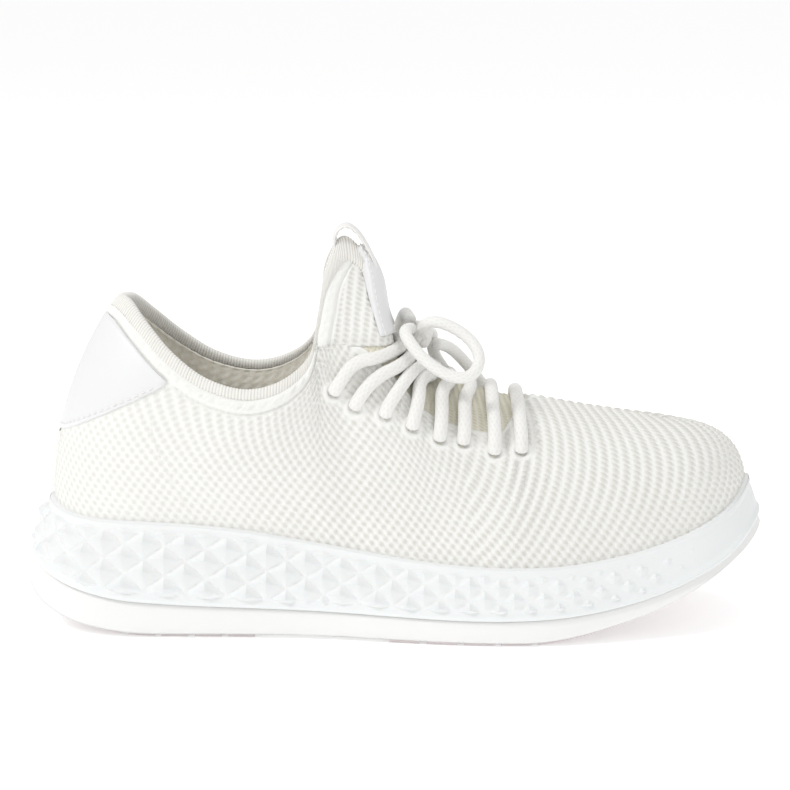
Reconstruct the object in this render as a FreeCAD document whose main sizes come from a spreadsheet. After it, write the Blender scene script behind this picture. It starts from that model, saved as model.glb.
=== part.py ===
import FreeCAD, Part
import Sketcher
import math
import os

from FreeCAD import Vector

# Running shoe, right foot, millimetres.
# +X points to the toe, -Y to the outer side, +Z up; the ground is Z = 0 under the middle of the sole.

doc = FreeCAD.newDocument("RunningShoe")
sheet = doc.addObject("Spreadsheet::Sheet", "Sizes")

driving = {
    "tread_thickness": 1.2,
    "board_thickness": 1.4,
    "liner_thickness": 4.0,
    "knit_thickness": 1.8,
    "layer_gap": 0.1,
    "stiffener_thickness": 0.9,
    "lining_thickness": 0.8,
    "collar_padding": 3.2,
    "overlay_thickness": 0.85,
    "overlay_gap": 0.3,
    "wall_at_top": 2.0,
    "lace_diameter": 4.4,
    "flex_x": 62.0,
    "flex_height": 24.0,
    "flex_degrees": 25.0,
    "tongue_height": 104.0,
    "joint_gap": 0.4,
    "loop_width": 9.0,
    "loop_band": 1.3,
    "aglet_length": 14.0,
    "aglet_diameter": 3.6,
    "block_width": 180.0,
}
for row, (name, value) in enumerate(driving.items(), start=1):
    sheet.set("A%d" % row, name)
    sheet.set("B%d" % row, str(value))
    sheet.setAlias("B%d" % row, name)
doc.recompute()


def size(name):
    return float(sheet.get(name))


gap = size("layer_gap")
knit = size("knit_thickness")

# Side view of the sole, as lines of (x, z).
groundLine = [(-137, 15), (-131, 9), (-122, 5), (-110, 2.2), (-97, 0.5), (-84, 0), (0, 0), (46, 0),
              (62, 1.6), (77, 4.8), (92, 9), (106, 14.8), (119, 21.8), (129, 28), (137, 34)]
ledgeLine = [(-137, 27), (-131, 23.4), (-123, 19.8), (-110, 16.3), (-96, 14), (-64, 12.1),
             (-10, 10.6), (31, 9.8), (57, 10.6), (75, 12.6), (93, 16.4), (109, 21.8), (122, 28.2), (137, 40)]
topLine = [(-127, 45.5), (-120, 43.4), (-109, 42.4), (-90, 42), (-70, 41), (-51, 38.9), (-36, 36.4),
           (-3, 31.4), (16, 29.4), (35, 28), (54, 27.8), (69, 28.8), (87, 31.4), (102, 35.2),
           (115, 40), (124, 45), (133, 53)]
floorLine = [(-130, 28), (-110, 25), (-90, 24), (-60, 22.4), (-30, 19.4), (0, 16.2), (30, 14),
             (52, 13.6), (75, 15), (95, 19), (110, 24.5), (122, 31), (131, 37)]
# How far the midsole stands out from the foot line at its ledge, along the shoe.
flareLine = [(-130, 12.2), (-121, 10), (-97, 7.2), (-58, 5.8), (0, 4.8), (58, 6.4), (94, 7.4), (130, 8)]
# The middle of the foot, seen from above.
middleLine = [(-130, 0), (-90, -0.8), (-58, -1.6), (-25, -3), (5, -2.4), (35, -0.8), (58, 1),
              (76, 3.2), (94, 5), (110, 6.2), (122, 6.6), (131, 6.6)]


def height(line, x):
    """Smooth line through its points, level with its ends beyond them."""
    if x <= line[0][0]:
        return line[0][1]
    if x >= line[-1][0]:
        return line[-1][1]
    last = len(line) - 1
    i = max(k for k in range(last) if line[k][0] <= x)

    def slope(k):
        before, here, after = line[max(k - 1, 0)], line[k], line[min(k + 1, last)]
        level = (after[1] - here[1]) * (here[1] - before[1]) <= 0 and 0 < k < last
        return 0 if level else (after[1] - before[1]) / (after[0] - before[0])

    (x0, z0), (x1, z1) = line[i], line[i + 1]
    run = x1 - x0
    t = (x - x0) / run
    start = (2 * t**3 - 3 * t**2 + 1) * z0 + (t**3 - 2 * t**2 + t) * run * slope(i)
    end = (3 * t**2 - 2 * t**3) * z1 + (t**3 - t**2) * run * slope(i + 1)
    return start + end


# Ribs of the upper on its outer side, heel to toe. Each is a curve from the sole to the rim or ridge:
# foot line (x, y), then two control points and the end (x, y, z).
ribs = [
    ((-124.5, 0), (-127, 0, 62), (-119.5, 0, 92), (-99.5, 0, 120)),
    ((-121, -12.7), (-123.5, -14.2, 62), (-115, -16, 91), (-95.5, -8.8, 119)),
    ((-111.5, -23.7), (-114, -25.5, 60), (-105, -28, 87), (-88.5, -17.5, 111.8)),
    ((-97, -29.2), (-98, -31.2, 58), (-91, -34.5, 81), (-79, -25.2, 102.4)),
    ((-78, -30.8), (-78, -32.8, 56), (-73, -36, 75), (-67, -29.5, 94)),
    ((-58, -31.4), (-58, -33.4, 54), (-54, -37, 72), (-53, -31, 90.2)),
    ((-42, -32.2), (-42, -34.2, 53), (-40, -37, 73), (-40, -29, 93.2)),
    ((-30, -33.4), (-30, -35.4, 53), (-30, -36, 79), (-30.5, -23, 101.5)),
    ((-22, -34.7), (-22, -37, 53), (-25, -32, 90), (-27.5, -16, 116)),
    ((-15, -36), (-15, -38.4, 52), (-20, -27, 99), (-25, -9, 130)),
    ((-8, -37.6), (-8, -40, 52), (-12, -26, 104), (-18.5, 0, 139)),
    ((0, -39.2), (0, -41.6, 51), (-3, -27, 102), (-10.5, 0, 131)),
    ((8, -40.6), (8, -43, 50), (5, -28, 96), (-5, 0, 117)),
    ((17, -42), (17, -44.6, 48), (13, -29, 88), (-1, 0, 103.8)),
    ((28, -43), (28, -45.6, 47), (23, -28, 83), (15, 0, 92)),
    ((42, -43.2), (42, -45.8, 46.5), (38, -26, 80), (34, 1, 85)),
    ((58, -41.6), (58, -44.2, 46.5), (55, -24, 78.5), (52, 2, 81)),
    ((76, -36.8), (77, -39.6, 48.5), (73, -22, 75.5), (69, 3, 77.6)),
    ((94, -30.6), (96, -33, 51.5), (90, -20, 73), (82, 4, 75.4)),
    ((110.5, -22.4), (113.5, -24.4, 56.5), (105, -15, 72), (91, 4.6, 73.8)),
    ((123, -10.6), (126.4, -11.2, 61), (115, -5, 71), (97, 5, 72.6)),
    ((128.6, 6.6), (132.4, 6.6, 64), (119.6, 6.2, 71), (99, 5.2, 72.2)),
]
toe = len(ribs) - 1
peak = 10


def rib(i):
    """Control points of rib i: minus on the outer side, plus on the inner, heel 0."""
    i = (i + toe) % (2 * toe) - toe
    foot, low, high, end = ribs[abs(i)]
    foot = (foot[0], foot[1], height(floorLine, foot[0]) + size("board_thickness") + 2 * gap)
    if i <= 0 or i == toe:
        return [foot, low, high, end]
    ridge = end[1] if i > peak else 0
    mirrored = []
    for point, share in ((foot, 0), (low, 0), (high, 0.5), (end, 1)):
        middle = height(middleLine, point[0]) * (1 - share) + ridge * share
        mirrored.append((point[0], 2 * middle - point[1], point[2]))
    return mirrored


def skin(q, v):
    """Outer face of the upper: q counts ribs round the shoe, v runs from the sole up to the end."""
    i = math.floor(q)
    t = q - i
    near = [rib(i + k) for k in (-1, 0, 1, 2)]
    w = (-t**3 + 2 * t**2 - t, 3 * t**3 - 5 * t**2 + 2, -3 * t**3 + 4 * t**2 + t, t**3 - t**2)
    b = ((1 - v)**3, 3 * v * (1 - v)**2, 3 * v**2 * (1 - v), v**3)
    return Vector(*[sum(w[j] / 2 * b[k] * near[j][k][a] for j in range(4) for k in range(4))
                    for a in range(3)])


def outward(q, v):
    """Unit normal of the skin, shared by both sides along the ridge."""
    step = 0.02
    high = min(v, 1 - step)
    normal = (skin(q, high + step) - skin(q, high - step)).cross(skin(q + step, high) - skin(q - step, high))
    normal.normalize()
    if v > 1 - step and abs((q + toe) % (2 * toe) - toe) >= peak:
        other = (skin(-q, high + step) - skin(-q, high - step)).cross(
            skin(-q + step, high) - skin(-q - step, high))
        other.normalize()
        normal = normal + other
        normal.normalize()
    return normal


def layerPoint(q, v, depth):
    return skin(q, v) - outward(q, v) * depth


def constant(value):
    return lambda q, v: value


def knots(count, degree):
    """Clamped, evenly spaced knots for a row of poles, with their repeats."""
    spans = count - degree
    return list(range(spans + 1)), [degree + 1] + [1] * (spans - 1) + [degree + 1]


def sheetFace(grid):
    """Smooth face over a grid of poles; faces that share a row of poles share that edge exactly."""
    degrees = [min(3, len(grid) - 1), min(3, len(grid[0]) - 1)]
    (uKnots, uRepeats), (vKnots, vRepeats) = knots(len(grid), degrees[0]), knots(len(grid[0]), degrees[1])
    surface = Part.BSplineSurface()
    surface.buildFromPolesMultsKnots(grid, uRepeats, vRepeats, uKnots, vKnots, False, False, *degrees)
    return surface.toShape()


def strip(first, second):
    """Wall between two rows of points."""
    return sheetFace([first, second])


def patchFaces(place, outer, inner, across, up, walls):
    """Outer and inner face of a patch, and its walls on the named sides."""
    steps = [(i / across, [j / up for j in range(up + 1)]) for i in range(across + 1)]
    grids = []
    for depth in (outer, inner):
        grid = []
        for a, row in steps:
            places = [place(a, b) for b in row]
            grid.append([layerPoint(q, v, depth(q, v)) for q, v in places])
        grids.append(grid)
    top, under = grids
    faces = [sheetFace(top), sheetFace(under)]
    edges = {
        "low": ([r[0] for r in top], [r[0] for r in under]),
        "high": ([r[-1] for r in top], [r[-1] for r in under]),
        "start": (top[0], under[0]),
        "finish": (top[-1], under[-1]),
    }
    return faces + [strip(*edges[side]) for side in walls]


def closedSolid(faces):
    joined = Part.makeCompound(faces)
    joined.sewShape(0.001)
    solid = Part.makeSolid(joined.Shells[0])
    if solid.Volume < 0:
        solid.reverse()
    return solid


def span(q0, q1, v0, v1):
    return lambda a, b: (q0 + (q1 - q0) * a, v0 + (v1 - v0) * b)


def feature(name, shape):
    made = doc.addObject("Part::Feature", name)
    made.Shape = shape
    made.Placement = FreeCAD.Placement()
    made.Label = name
    return made


def panel(name, place, outer, inner, across=16, up=8):
    """A thick four-sided piece of the upper between two depths."""
    sides = ("low", "high", "start", "finish")
    return feature(name, closedSolid(patchFaces(place, outer, inner, across, up, sides)))


def sides(name, patches, outer, inner):
    """One solid from patches that share edges; each is (place, across, up, open sides)."""
    faces = []
    for place, across, up, walls in patches:
        faces += patchFaces(place, constant(outer), constant(inner), across, up, walls)
    return feature(name, closedSolid(faces))


def boolean(kind, name, base, tool):
    made = doc.addObject("Part::" + kind, name)
    made.Base = base
    made.Tool = tool
    made.Label = name
    return made


def sideBlock(name, curves, width="block_width"):
    """A block whose side view is closed by the curves, as wide as the sheet's value of that name."""
    sketch = doc.addObject("Sketcher::SketchObject", name + "_sketch")
    sketch.Placement = FreeCAD.Placement(Vector(0, 0, 0), FreeCAD.Rotation(Vector(1, 0, 0), 90))
    for curve in curves:
        sketch.addGeometry(curve, False)
    block = doc.addObject("Part::Extrusion", name)
    block.Base = sketch
    block.DirMode = "Normal"
    block.Solid = True
    block.Symmetric = True
    block.Label = name
    block.setExpression("LengthFwd", "Sizes." + width)
    return block


def polygon(points):
    corners = [Vector(x, z, 0) for x, z in points]
    return [Part.LineSegment(a, b) for a, b in zip(corners, corners[1:] + corners[:1])]


def slab(name, lower, upper, lift, drop):
    """Layer of the sole between two side-view lines, raised and lowered by the given amounts."""
    ends = (-145, 145)
    stations = [ends[0] + 5 * k for k in range(59)]
    low = [Vector(x, height(lower, x) + lift, 0) for x in stations]
    high = [Vector(x, height(upper, x) + drop, 0) for x in stations]
    curves = []
    for points in (low, high):
        curve = Part.BSplineCurve()
        curve.interpolate(points)
        curves.append(curve)
    curves.append(Part.LineSegment(low[0], high[0]))
    curves.append(Part.LineSegment(low[-1], high[-1]))
    return sideBlock(name, curves)


def ring(points):
    curve = Part.BSplineCurve()
    curve.interpolate(points, PeriodicFlag=True)
    return Part.Wire(curve.toShape())


def footPoint(q, z, inset):
    """Point of the skin at a level, or of the foot line below it, moved inwards."""
    low, high = 0.0, 0.6
    if z > skin(q, 0).z:
        for _ in range(24):
            middle = (low + high) / 2
            if skin(q, middle).z < z:
                low = middle
            else:
                high = middle
    here = skin(q, low)
    normal = outward(q, low)
    flat = Vector(normal.x, normal.y, 0)
    flat.normalize()
    return Vector(here.x, here.y, z) - flat * inset


def footBlock(name, inset):
    levels = (-3, 4, 12, 20, 28, 36, 44, 52, 60)
    wires = [ring([footPoint(q, z, inset) for q in range(-toe, toe)]) for z in levels]
    return feature(name, Part.makeLoft(wires, True))


def solePoint(q, z):
    """Outer wall of the sole at a level: it flares to the ledge and rounds under at the ground."""
    foot = footPoint(q, z, 0)
    base = skin(q, 0)
    ledge, top, ground = (height(line, base.x) for line in (ledgeLine, topLine, groundLine))
    rise = max(0.0, min(1.0, (z - ledge) / (top - ledge)))
    flare = height(flareLine, base.x)
    under = max(0.0, min(1.5, (ledge - z) / (ledge - ground)))
    out = flare * (1 - rise) + size("wall_at_top") * rise + 0.5 * min(1.0, 4 * under) - 2.2 * under**3
    normal = outward(q, 0)
    flat = Vector(normal.x, normal.y, 0)
    flat.normalize()
    return Vector(foot.x, foot.y, z) + flat * out


def soleBlock(name):
    levels = (-3, 1, 5, 9, 13, 18, 24, 30, 36, 42, 48, 54, 60)
    wires = [ring([solePoint(q, z) for q in range(-toe, toe)]) for z in levels]
    return feature(name, Part.makeLoft(wires, True))


# Where the forefoot bends and where the tongue peak starts; far is beyond every piece.
flexX = size("flex_x")
flexZ = size("flex_height")
halfGap = size("joint_gap") / 2
lean = math.tan(math.radians(size("flex_degrees") + 1))
cutLow = size("tongue_height") - halfGap
cutHigh = size("tongue_height") + halfGap
far = 200

rearRegion = sideBlock("rear_region", polygon(
    [(-far, -20), (flexX - halfGap, -20), (flexX - halfGap, far), (-far, far)]))
frontRegion = sideBlock("front_region", polygon(
    [(flexX + halfGap, -20), (far, -20), (far, far),
     (flexX + halfGap + (far - flexZ) * lean, far), (flexX + halfGap, flexZ)]))


def half(name, whole, region):
    return boolean("Common", name, whole, region)


# --- sole -----------------------------------------------------------------
wall = soleBlock("sole_block")
footRoom = footBlock("foot_room", -1.5 * gap)
boardOutline = footBlock("board_outline", 3 * gap)
linerOutline = footBlock("liner_outline", 5.2)
treadOutline = footBlock("tread_outline", -2.0)

tread = size("tread_thickness")
board = size("board_thickness")
liner = size("liner_thickness")
grooveWidth = 2.4

carrierLayer = boolean("Common", "carrier", wall,
                       slab("carrier_slab", groundLine, ledgeLine, tread + gap, -gap / 2))
midsoleLayer = boolean("Common", "midsole", wall, slab("midsole_slab", ledgeLine, topLine, gap / 2, 0))
room = boolean("Common", "room", footRoom, slab("room_slab", floorLine, topLine, 0, 40))
midsoleCup = boolean("Cut", "midsole_cup", midsoleLayer, room)
boardLayer = boolean("Common", "board", boardOutline,
                     slab("board_slab", floorLine, floorLine, gap, gap + board))
linerLow = board + 2 * gap
linerLayer = boolean("Common", "liner", linerOutline,
                     slab("liner_slab", floorLine, floorLine, linerLow, linerLow + liner))
treadLayer = boolean("Common", "tread", treadOutline,
                     slab("tread_slab", groundLine, groundLine, -gap / 2, tread))

# What would lie below the ground is cut off level.
ground = doc.addObject("Part::Box", "ground")
ground.Length = ground.Width = 2 * far
ground.Height = far
ground.Placement.Base = Vector(-far, -far, -far)
levelTread = boolean("Cut", "level_tread", treadLayer, ground)

halves = (("lower_band", carrierLayer), ("midsole", midsoleCup), ("strobel_board", boardLayer),
          ("sockliner", linerLayer))
parts = {}
for name, layer in halves:
    parts[name + "_rear"] = half(name + "_rear", layer, rearRegion)
    parts[name + "_front"] = half(name + "_front", layer, frontRegion)


def treadPads(name, start, finish, count):
    """Rubber pads across the sole with grooves between them."""
    pitch = (finish - start) / count
    boxes = []
    for i in range(count):
        pad = doc.addObject("Part::Box", "%s_pad_%d" % (name, i + 1))
        pad.Length = pitch - grooveWidth
        pad.Width = 2 * far
        pad.Height = far
        pad.Placement.Base = Vector(start + i * pitch, -far, -20)
        boxes.append(pad)
    comb = doc.addObject("Part::Compound", name + "_comb")
    comb.Links = boxes
    return boolean("Common", name, levelTread, comb)


parts["tread_heel"] = treadPads("tread_heel", -120, -48, 6)
parts["tread_ball"] = treadPads("tread_ball", -2, flexX + grooveWidth - halfGap, 5)
parts["tread_toe"] = treadPads("tread_toe", flexX + halfGap, 123, 5)


# --- upper ----------------------------------------------------------------
def levelPlace(q, z):
    """How far up the skin a level is reached at q."""
    low, high = 0.02, 1.0
    if skin(q, 1).z <= z:
        return 1.0
    for _ in range(24):
        middle = (low + high) / 2
        if skin(q, middle).z < z:
            low = middle
        else:
            high = middle
    return (low + high) / 2


bindingStart = 0.925
throatEnd = 16


def smooth(t):
    t = max(0.0, min(1.0, t))
    return t * t * (3 - 2 * t)


def collarEdge(q):
    """Upper edge of the knit round the ankle, below the binding and the tongue peak."""
    return min(bindingStart, levelPlace(q, cutLow))


def throatEdge(q):
    """Edge of the lacing gap: level along the eyelets, closing over the ridge at its front."""
    s = abs(q)
    start = levelPlace(peak, cutLow)
    edge = start + (0.68 - start) * smooth(s - peak)
    return edge + (1 - edge) * smooth((s - 14.9) / (throatEnd - 14.9))


def stationAt(v, side, line):
    """Rib number where the skin meets a side-view line x = line(z), on one side."""
    low, high = throatEnd - 1.0, toe - 1.0
    for _ in range(24):
        middle = (low + high) / 2
        here = skin(side * middle, v)
        if here.x < line(here.z):
            low = middle
        else:
            high = middle
    return (low + high) / 2


def upTo(q0, q1, edge):
    def place(a, b):
        q = q0 + (q1 - q0) * a
        return q, edge(q) * b
    return place


def quarterEnd(z):
    return flexX - halfGap


def creaseStart(z):
    return flexX + halfGap


def creaseEnd(z):
    return flexX + halfGap + max(0.0, z - flexZ) * lean - 0.3


def vampStart(z):
    return flexX + halfGap + max(0.0, z - flexZ) * lean + 0.3


def between(side, start, finish):
    """Patch on one side from one side-view line or rib to another."""
    def place(a, b):
        first, last = (stationAt(b, side, end) if callable(end) else end for end in (start, finish))
        return side * (first + (last - first) * a), b
    return place


parts["quarter_knit"] = sides("quarter_knit", [
    (upTo(-peak, peak, collarEdge), 60, 16, ("low", "high")),
    (upTo(-throatEnd, -peak, throatEdge), 18, 16, ("low", "high")),
    (upTo(peak, throatEnd, throatEdge), 18, 16, ("low", "high")),
    (between(-1, throatEnd, quarterEnd), 3, 16, ("low", "finish")),
    (between(1, throatEnd, quarterEnd), 3, 16, ("low", "finish")),
], 0, knit)
parts["vamp_flex_zone"] = sides("vamp_flex_zone", [
    (between(-1, creaseStart, creaseEnd), 4, 16, ("low", "start", "finish")),
    (between(1, creaseStart, creaseEnd), 4, 16, ("low", "start", "finish")),
], 0, knit)
parts["vamp_knit"] = sides("vamp_knit", [
    (between(-1, vampStart, toe), 14, 16, ("low", "start")),
    (between(1, vampStart, toe), 14, 16, ("low", "start")),
], 0, knit)

inside = knit + 3 * gap
stiff = size("stiffener_thickness")
lining = size("lining_thickness")


def padding(v):
    """Collar foam swells towards the rim."""
    return size("collar_padding") * math.sin(math.pi * max(0.0, min(1.0, (v - 0.55) / 0.45)))


def liningOut(q, v):
    return inside + stiff + gap + padding(v) * smooth((9.5 - abs(q)) / 2)


def liningIn(q, v):
    return liningOut(q, v) + lining


def foamIn(q, v):
    return liningOut(q, v) - gap


parts["heel_counter"] = panel("heel_counter", span(-4.5, 4.5, 0.04, 0.58),
                              constant(inside), constant(inside + stiff))
parts["toe_puff"] = panel("toe_puff", lambda a, b: (toe - 3.4 + 6.8 * a, 0.05 + 0.45 * b),
                          constant(inside), constant(inside + stiff))


def innerEdge(q):
    return min(bindingStart - 0.01, levelPlace(q, cutLow - 0.5))


def bandPlace(q0, q1, low, high):
    """Patch between a fixed height up the skin and an edge that follows q."""
    def place(a, b):
        q = q0 + (q1 - q0) * a
        return q, low + (high(q) - low) * b
    return place


parts["collar_foam"] = panel("collar_foam", bandPlace(-7.6, 7.6, 0.6, innerEdge),
                             constant(inside), foamIn, 32)
parts["bootie_lining"] = panel("bootie_lining", bandPlace(-8.3, 8.3, 0.02, innerEdge),
                               liningOut, liningIn, 34, 12)


rimEnd = 7.1


def bindingPlace(a, b):
    q = rimEnd * (2 * a - 1)
    base = bindingStart + 0.004
    rim = min(1.0, levelPlace(q, cutLow)) if abs(q) > rimEnd - 1.1 else 1.0
    return q, base + (rim - base) * b


parts["collar_binding"] = panel("collar_binding", bindingPlace, constant(-0.5), constant(4.2), 32, 3)


# --- tongue peak ----------------------------------------------------------
peakTop = 133.5
patchStart = 106.5
patchEnd = 123.5
bindingTop = 126


def crossing(level, v):
    """Rib number where the rim (v given) or the ridge is at a level, in front of the collar dip."""
    low, high = (6.5, float(peak)) if v < 1 else (float(peak), 13.0)
    for _ in range(24):
        middle = (low + high) / 2
        if (skin(-middle, v).z < level) == (v < 1):
            low = middle
        else:
            high = middle
    return (low + high) / 2


def levelBand(start, finish, low, high):
    """Patch round the peak between two levels; start and finish are shares from outer rim to inner rim."""
    def place(a, b):
        z = low + (high - low) * b
        share = start + (finish - start) * a
        rim, ridge = crossing(z, bindingStart), crossing(z, 1)
        q = rim + (ridge - rim) * (1 - abs(1 - 2 * share))
        v = min(1.0, levelPlace(q, z))
        return (-q if share < 0.5 else q), v
    return place


overlayIn = constant(-size("overlay_gap"))
overlayOut = constant(-size("overlay_gap") - size("overlay_thickness"))
parts["tongue_knit"] = panel("tongue_knit", levelBand(0, 1, cutHigh, peakTop),
                             constant(0), constant(knit), 16, 8)
parts["tongue_patch"] = panel("tongue_patch", levelBand(0.33, 0.67, patchStart, patchEnd),
                              overlayOut, overlayIn, 8, 6)

rimLow = bindingStart + 0.014
for side, word in ((-1, "outer"), (1, "inner")):
    ends = sorted(side * crossing(level, rimLow) for level in (cutHigh, bindingTop))
    parts["tongue_binding_" + word] = panel("tongue_binding_" + word, span(*ends, rimLow, 1),
                                            constant(-0.3), constant(2.4), 8, 3)


# --- heel trims -----------------------------------------------------------
patchTip = 3.2
patchLow = levelPlace(0, 74)
patchHigh = bindingStart - 0.006


def heelPatchPlace(a, b):
    q = patchTip * (2 * a - 1)
    low = patchLow + (patchHigh - 0.02 - patchLow) * (abs(q) / patchTip)**1.25
    return q, low + (patchHigh - low) * b


parts["heel_patch"] = panel("heel_patch", heelPatchPlace, overlayOut, overlayIn, 16, 6)
parts["back_seam_tape"] = panel("back_seam_tape", span(-0.19, 0.19, levelPlace(0, 48), patchLow - 0.01),
                                overlayOut, overlayIn, 4, 6)

# --- throat and lacing ----------------------------------------------------
meshLow = 0.5
meshStart = 9.2
meshRidge = 13
meshEnd = 16.15


def throatTop(q):
    return levelPlace(q, cutLow)


parts["throat_mesh"] = sides("throat_mesh", [
    (bandPlace(-meshRidge, -meshStart, meshLow, throatTop), 8, 6, ("low", "high", "finish")),
    (bandPlace(meshStart, meshRidge, meshLow, throatTop), 8, 6, ("low", "high", "start")),
    (bandPlace(-meshEnd, -meshRidge, meshLow, throatTop), 8, 6, ("low", "start")),
    (bandPlace(meshRidge, meshEnd, meshLow, throatTop), 8, 6, ("low", "finish")),
], inside, inside + lining)

laceWidth = size("lace_diameter")


def tube(name, points, diameter):
    """Round cord along straight runs joined by tangent arcs as large as the runs allow."""
    corners = [Vector(*point) for point in points]
    edges = []
    radii = []
    start = corners[0]
    for before, corner, after in zip(corners, corners[1:], corners[2:]):
        arrive = (corner - before).normalize()
        leave = (after - corner).normalize()
        turn = arrive.getAngle(leave)
        reach = 0.45 * min((corner - before).Length, (after - corner).Length)
        radii.append(reach / math.tan(turn / 2))
        middle = (leave - arrive).normalize()
        centre = corner + middle * math.hypot(reach, radii[-1])
        first, last = corner - arrive * reach, corner + leave * reach
        bow = centre - middle * radii[-1]
        edges.append(Part.LineSegment(start, first).toShape())
        edges.append(Part.Arc(first, bow, last).toShape())
        start = last
    edges.append(Part.LineSegment(start, corners[-1]).toShape())
    path = Part.Wire(edges)
    direction = (corners[1] - corners[0]).normalize()
    section = Part.Wire(Part.makeCircle(diameter / 2, corners[0], direction))
    solid = path.makePipeShell([section], True, True)
    wanted = math.pi * diameter**2 / 4 * path.Length
    print("%s length %.1f, smallest radius %.1f, volume share %.4f"
          % (name, path.Length, min(radii), solid.Volume / wanted))
    return feature(name, solid)


# Each lace row from the front back: eyelet, shoulder and brow beside the ridge, as places on the skin.
laceRows = [
    ((15.4, 0.6), (15.45, 0.8), (15.5, 0.92)),
    ((14.8, 0.58), (14.9, 0.8), (14.98, 0.92)),
    ((14.1, 0.6), (14.3, 0.8), (14.55, 0.9)),
    ((13.4, 0.58), (13.75, 0.8), (14.15, 0.9)),
    ((12.2, 0.55), (13.05, 0.78), (13.8, 0.9)),
    ((10.9, 0.53), (12.45, 0.75), (13.5, 0.9)),
    ((9.6, 0.54), (11.75, 0.71), (13.17, 0.9)),
    ((8.6, 0.63), (10.9, 0.685), (12.76, 0.895)),
]
onKnit = laceWidth / 2 + 0.3
onMesh = laceWidth / 2 - inside + 2.1


def laceRow(name, eyelet, shoulder, brow):
    """Straight bar from the outer eyelet over the ridge to the inner one."""
    (q0, v0), (q1, v1), (q2, v2) = eyelet, shoulder, brow
    places = [(q0, v0, onKnit), ((q0 + q1) / 2, (v0 + v1) / 2, onKnit + 0.5), (q1, v1, onKnit),
              ((q1 + q2) / 2, (v1 + v2) / 2, onKnit - 0.8), (q2, v2, onMesh)]
    outerSide = [layerPoint(-q, v, -lift) for q, v, lift in places]
    innerSide = [layerPoint(q, v, -lift) for q, v, lift in reversed(places)]
    return tube(name, outerSide + innerSide, laceWidth)


for i, row in enumerate(laceRows, start=1):
    parts["lace_row_%d" % i] = laceRow("lace_row_%d" % i, *row)

knot = doc.addObject("Part::Ellipsoid", "lace_knot")
knot.Label = "lace_knot"
knot.Radius1 = 3.1
knot.Radius2 = 5.0
knot.Radius3 = 4.2
knot.Angle1 = -90
knot.Angle2 = 90
knot.Placement = FreeCAD.Placement(Vector(10.2, 0, 104.6), FreeCAD.Rotation(Vector(0, 1, 0), 28))
parts["lace_knot"] = knot

nearLoop = [(12.2, -5.7, 105), (9.6, -10, 109.2), (14.2, -13.6, 112), (22.6, -14.4, 108.8),
            (29, -17, 103.4), (30.6, -21.8, 97.6), (26.6, -24.6, 92.6), (18.6, -24.2, 93.4), (10.8, -22.4, 98.6),
            (5.2, -19.4, 104.6), (2.8, -13, 108.8), (6.2, -4.9, 107.4)]
farLoop = [(12.8, 4.8, 104.2), (13.6, 9.4, 103.4), (13.6, 14.6, 101.2), (13.8, 19.8, 97.2), (15, 25.2, 92),
           (19.2, 29.8, 85.4), (23, 33.8, 76.8), (21, 36.8, 69.6), (15.4, 37.4, 68), (10.6, 36.6, 74.4),
           (8.8, 33.4, 82.6), (8, 28.8, 90.4), (7.6, 22.2, 98), (7.6, 15.4, 103.4), (7.8, 9.4, 106.2),
           (8.4, 4.9, 106.6)]
longEnd = [(14.6, 2.2, 100.8), (18.2, 6.4, 99.6), (21.6, 12, 96.6), (24.8, 17.4, 92.6), (28.4, 22.6, 87.6),
           (32.6, 27.4, 81.4), (37, 32.4, 74.6), (41, 37.8, 66.4), (41.8, 42.4, 57.6), (40, 45.8, 48),
           (37.4, 48.4, 38.5)]
shortEnd = [(5.9, 0.8, 109.4), (4.4, 6, 111.4), (3.4, 13, 110.2), (2.2, 19.8, 106.4), (1, 26.8, 100),
            (-0.2, 33.2, 90.6), (-1.6, 37.2, 79.8), (-2.8, 38.8, 69.4), (-3.6, 39.4, 59.8)]
cords = {"bow_loop_near": nearLoop, "bow_loop_far": farLoop,
         "lace_end_long": longEnd, "lace_end_short": shortEnd}
for name, route in cords.items():
    parts[name] = tube(name, route, laceWidth)


def plane(body, role):
    return next(item for item in body.Origin.OriginFeatures if item.Role == role)


def aglet(name, route):
    """Plastic tip on the end of a cord, in line with its last run."""
    body = doc.addObject("PartDesign::Body", name)
    body.Label = name
    sketch = body.newObject("Sketcher::SketchObject", name + "_section")
    sketch.AttachmentSupport = (plane(body, "XY_Plane"), [""])
    sketch.MapMode = "FlatFace"
    circle = sketch.addGeometry(Part.Circle(Vector(), Vector(0, 0, 1), 1.5), False)
    rule = sketch.addConstraint(Sketcher.Constraint("Diameter", circle, 3))
    sketch.renameConstraint(rule, "width")
    sketch.setExpression("Constraints.width", "Sizes.aglet_diameter")
    pad = body.newObject("PartDesign::Pad", name + "_pad")
    pad.Profile = sketch
    pad.setExpression("Length", "Sizes.aglet_length")
    doc.recompute()
    rounded = body.newObject("PartDesign::Fillet", name + "_round")
    rounded.Base = (pad, ["Edge%d" % (k + 1) for k, e in enumerate(pad.Shape.Edges) if len(e.Vertexes) == 1])
    rounded.Radius = 0.4
    body.Tip = rounded
    before, end = Vector(*route[-2]), Vector(*route[-1])
    run = (end - before).normalize()
    body.Placement = FreeCAD.Placement(end + run * gap, FreeCAD.Rotation(Vector(0, 0, 1), run))
    return body


parts["aglet_long"] = aglet("aglet_long", longEnd)
parts["aglet_short"] = aglet("aglet_short", shortEnd)

# --- pull loop ------------------------------------------------------------
loopLine = [(-5.6, 124.4), (-8.2, 130.6), (-10.6, 137.4), (-13.6, 143.2), (-18, 145.4), (-21.8, 143.2),
            (-22.8, 139.2), (-22.4, 135.4)]


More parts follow.
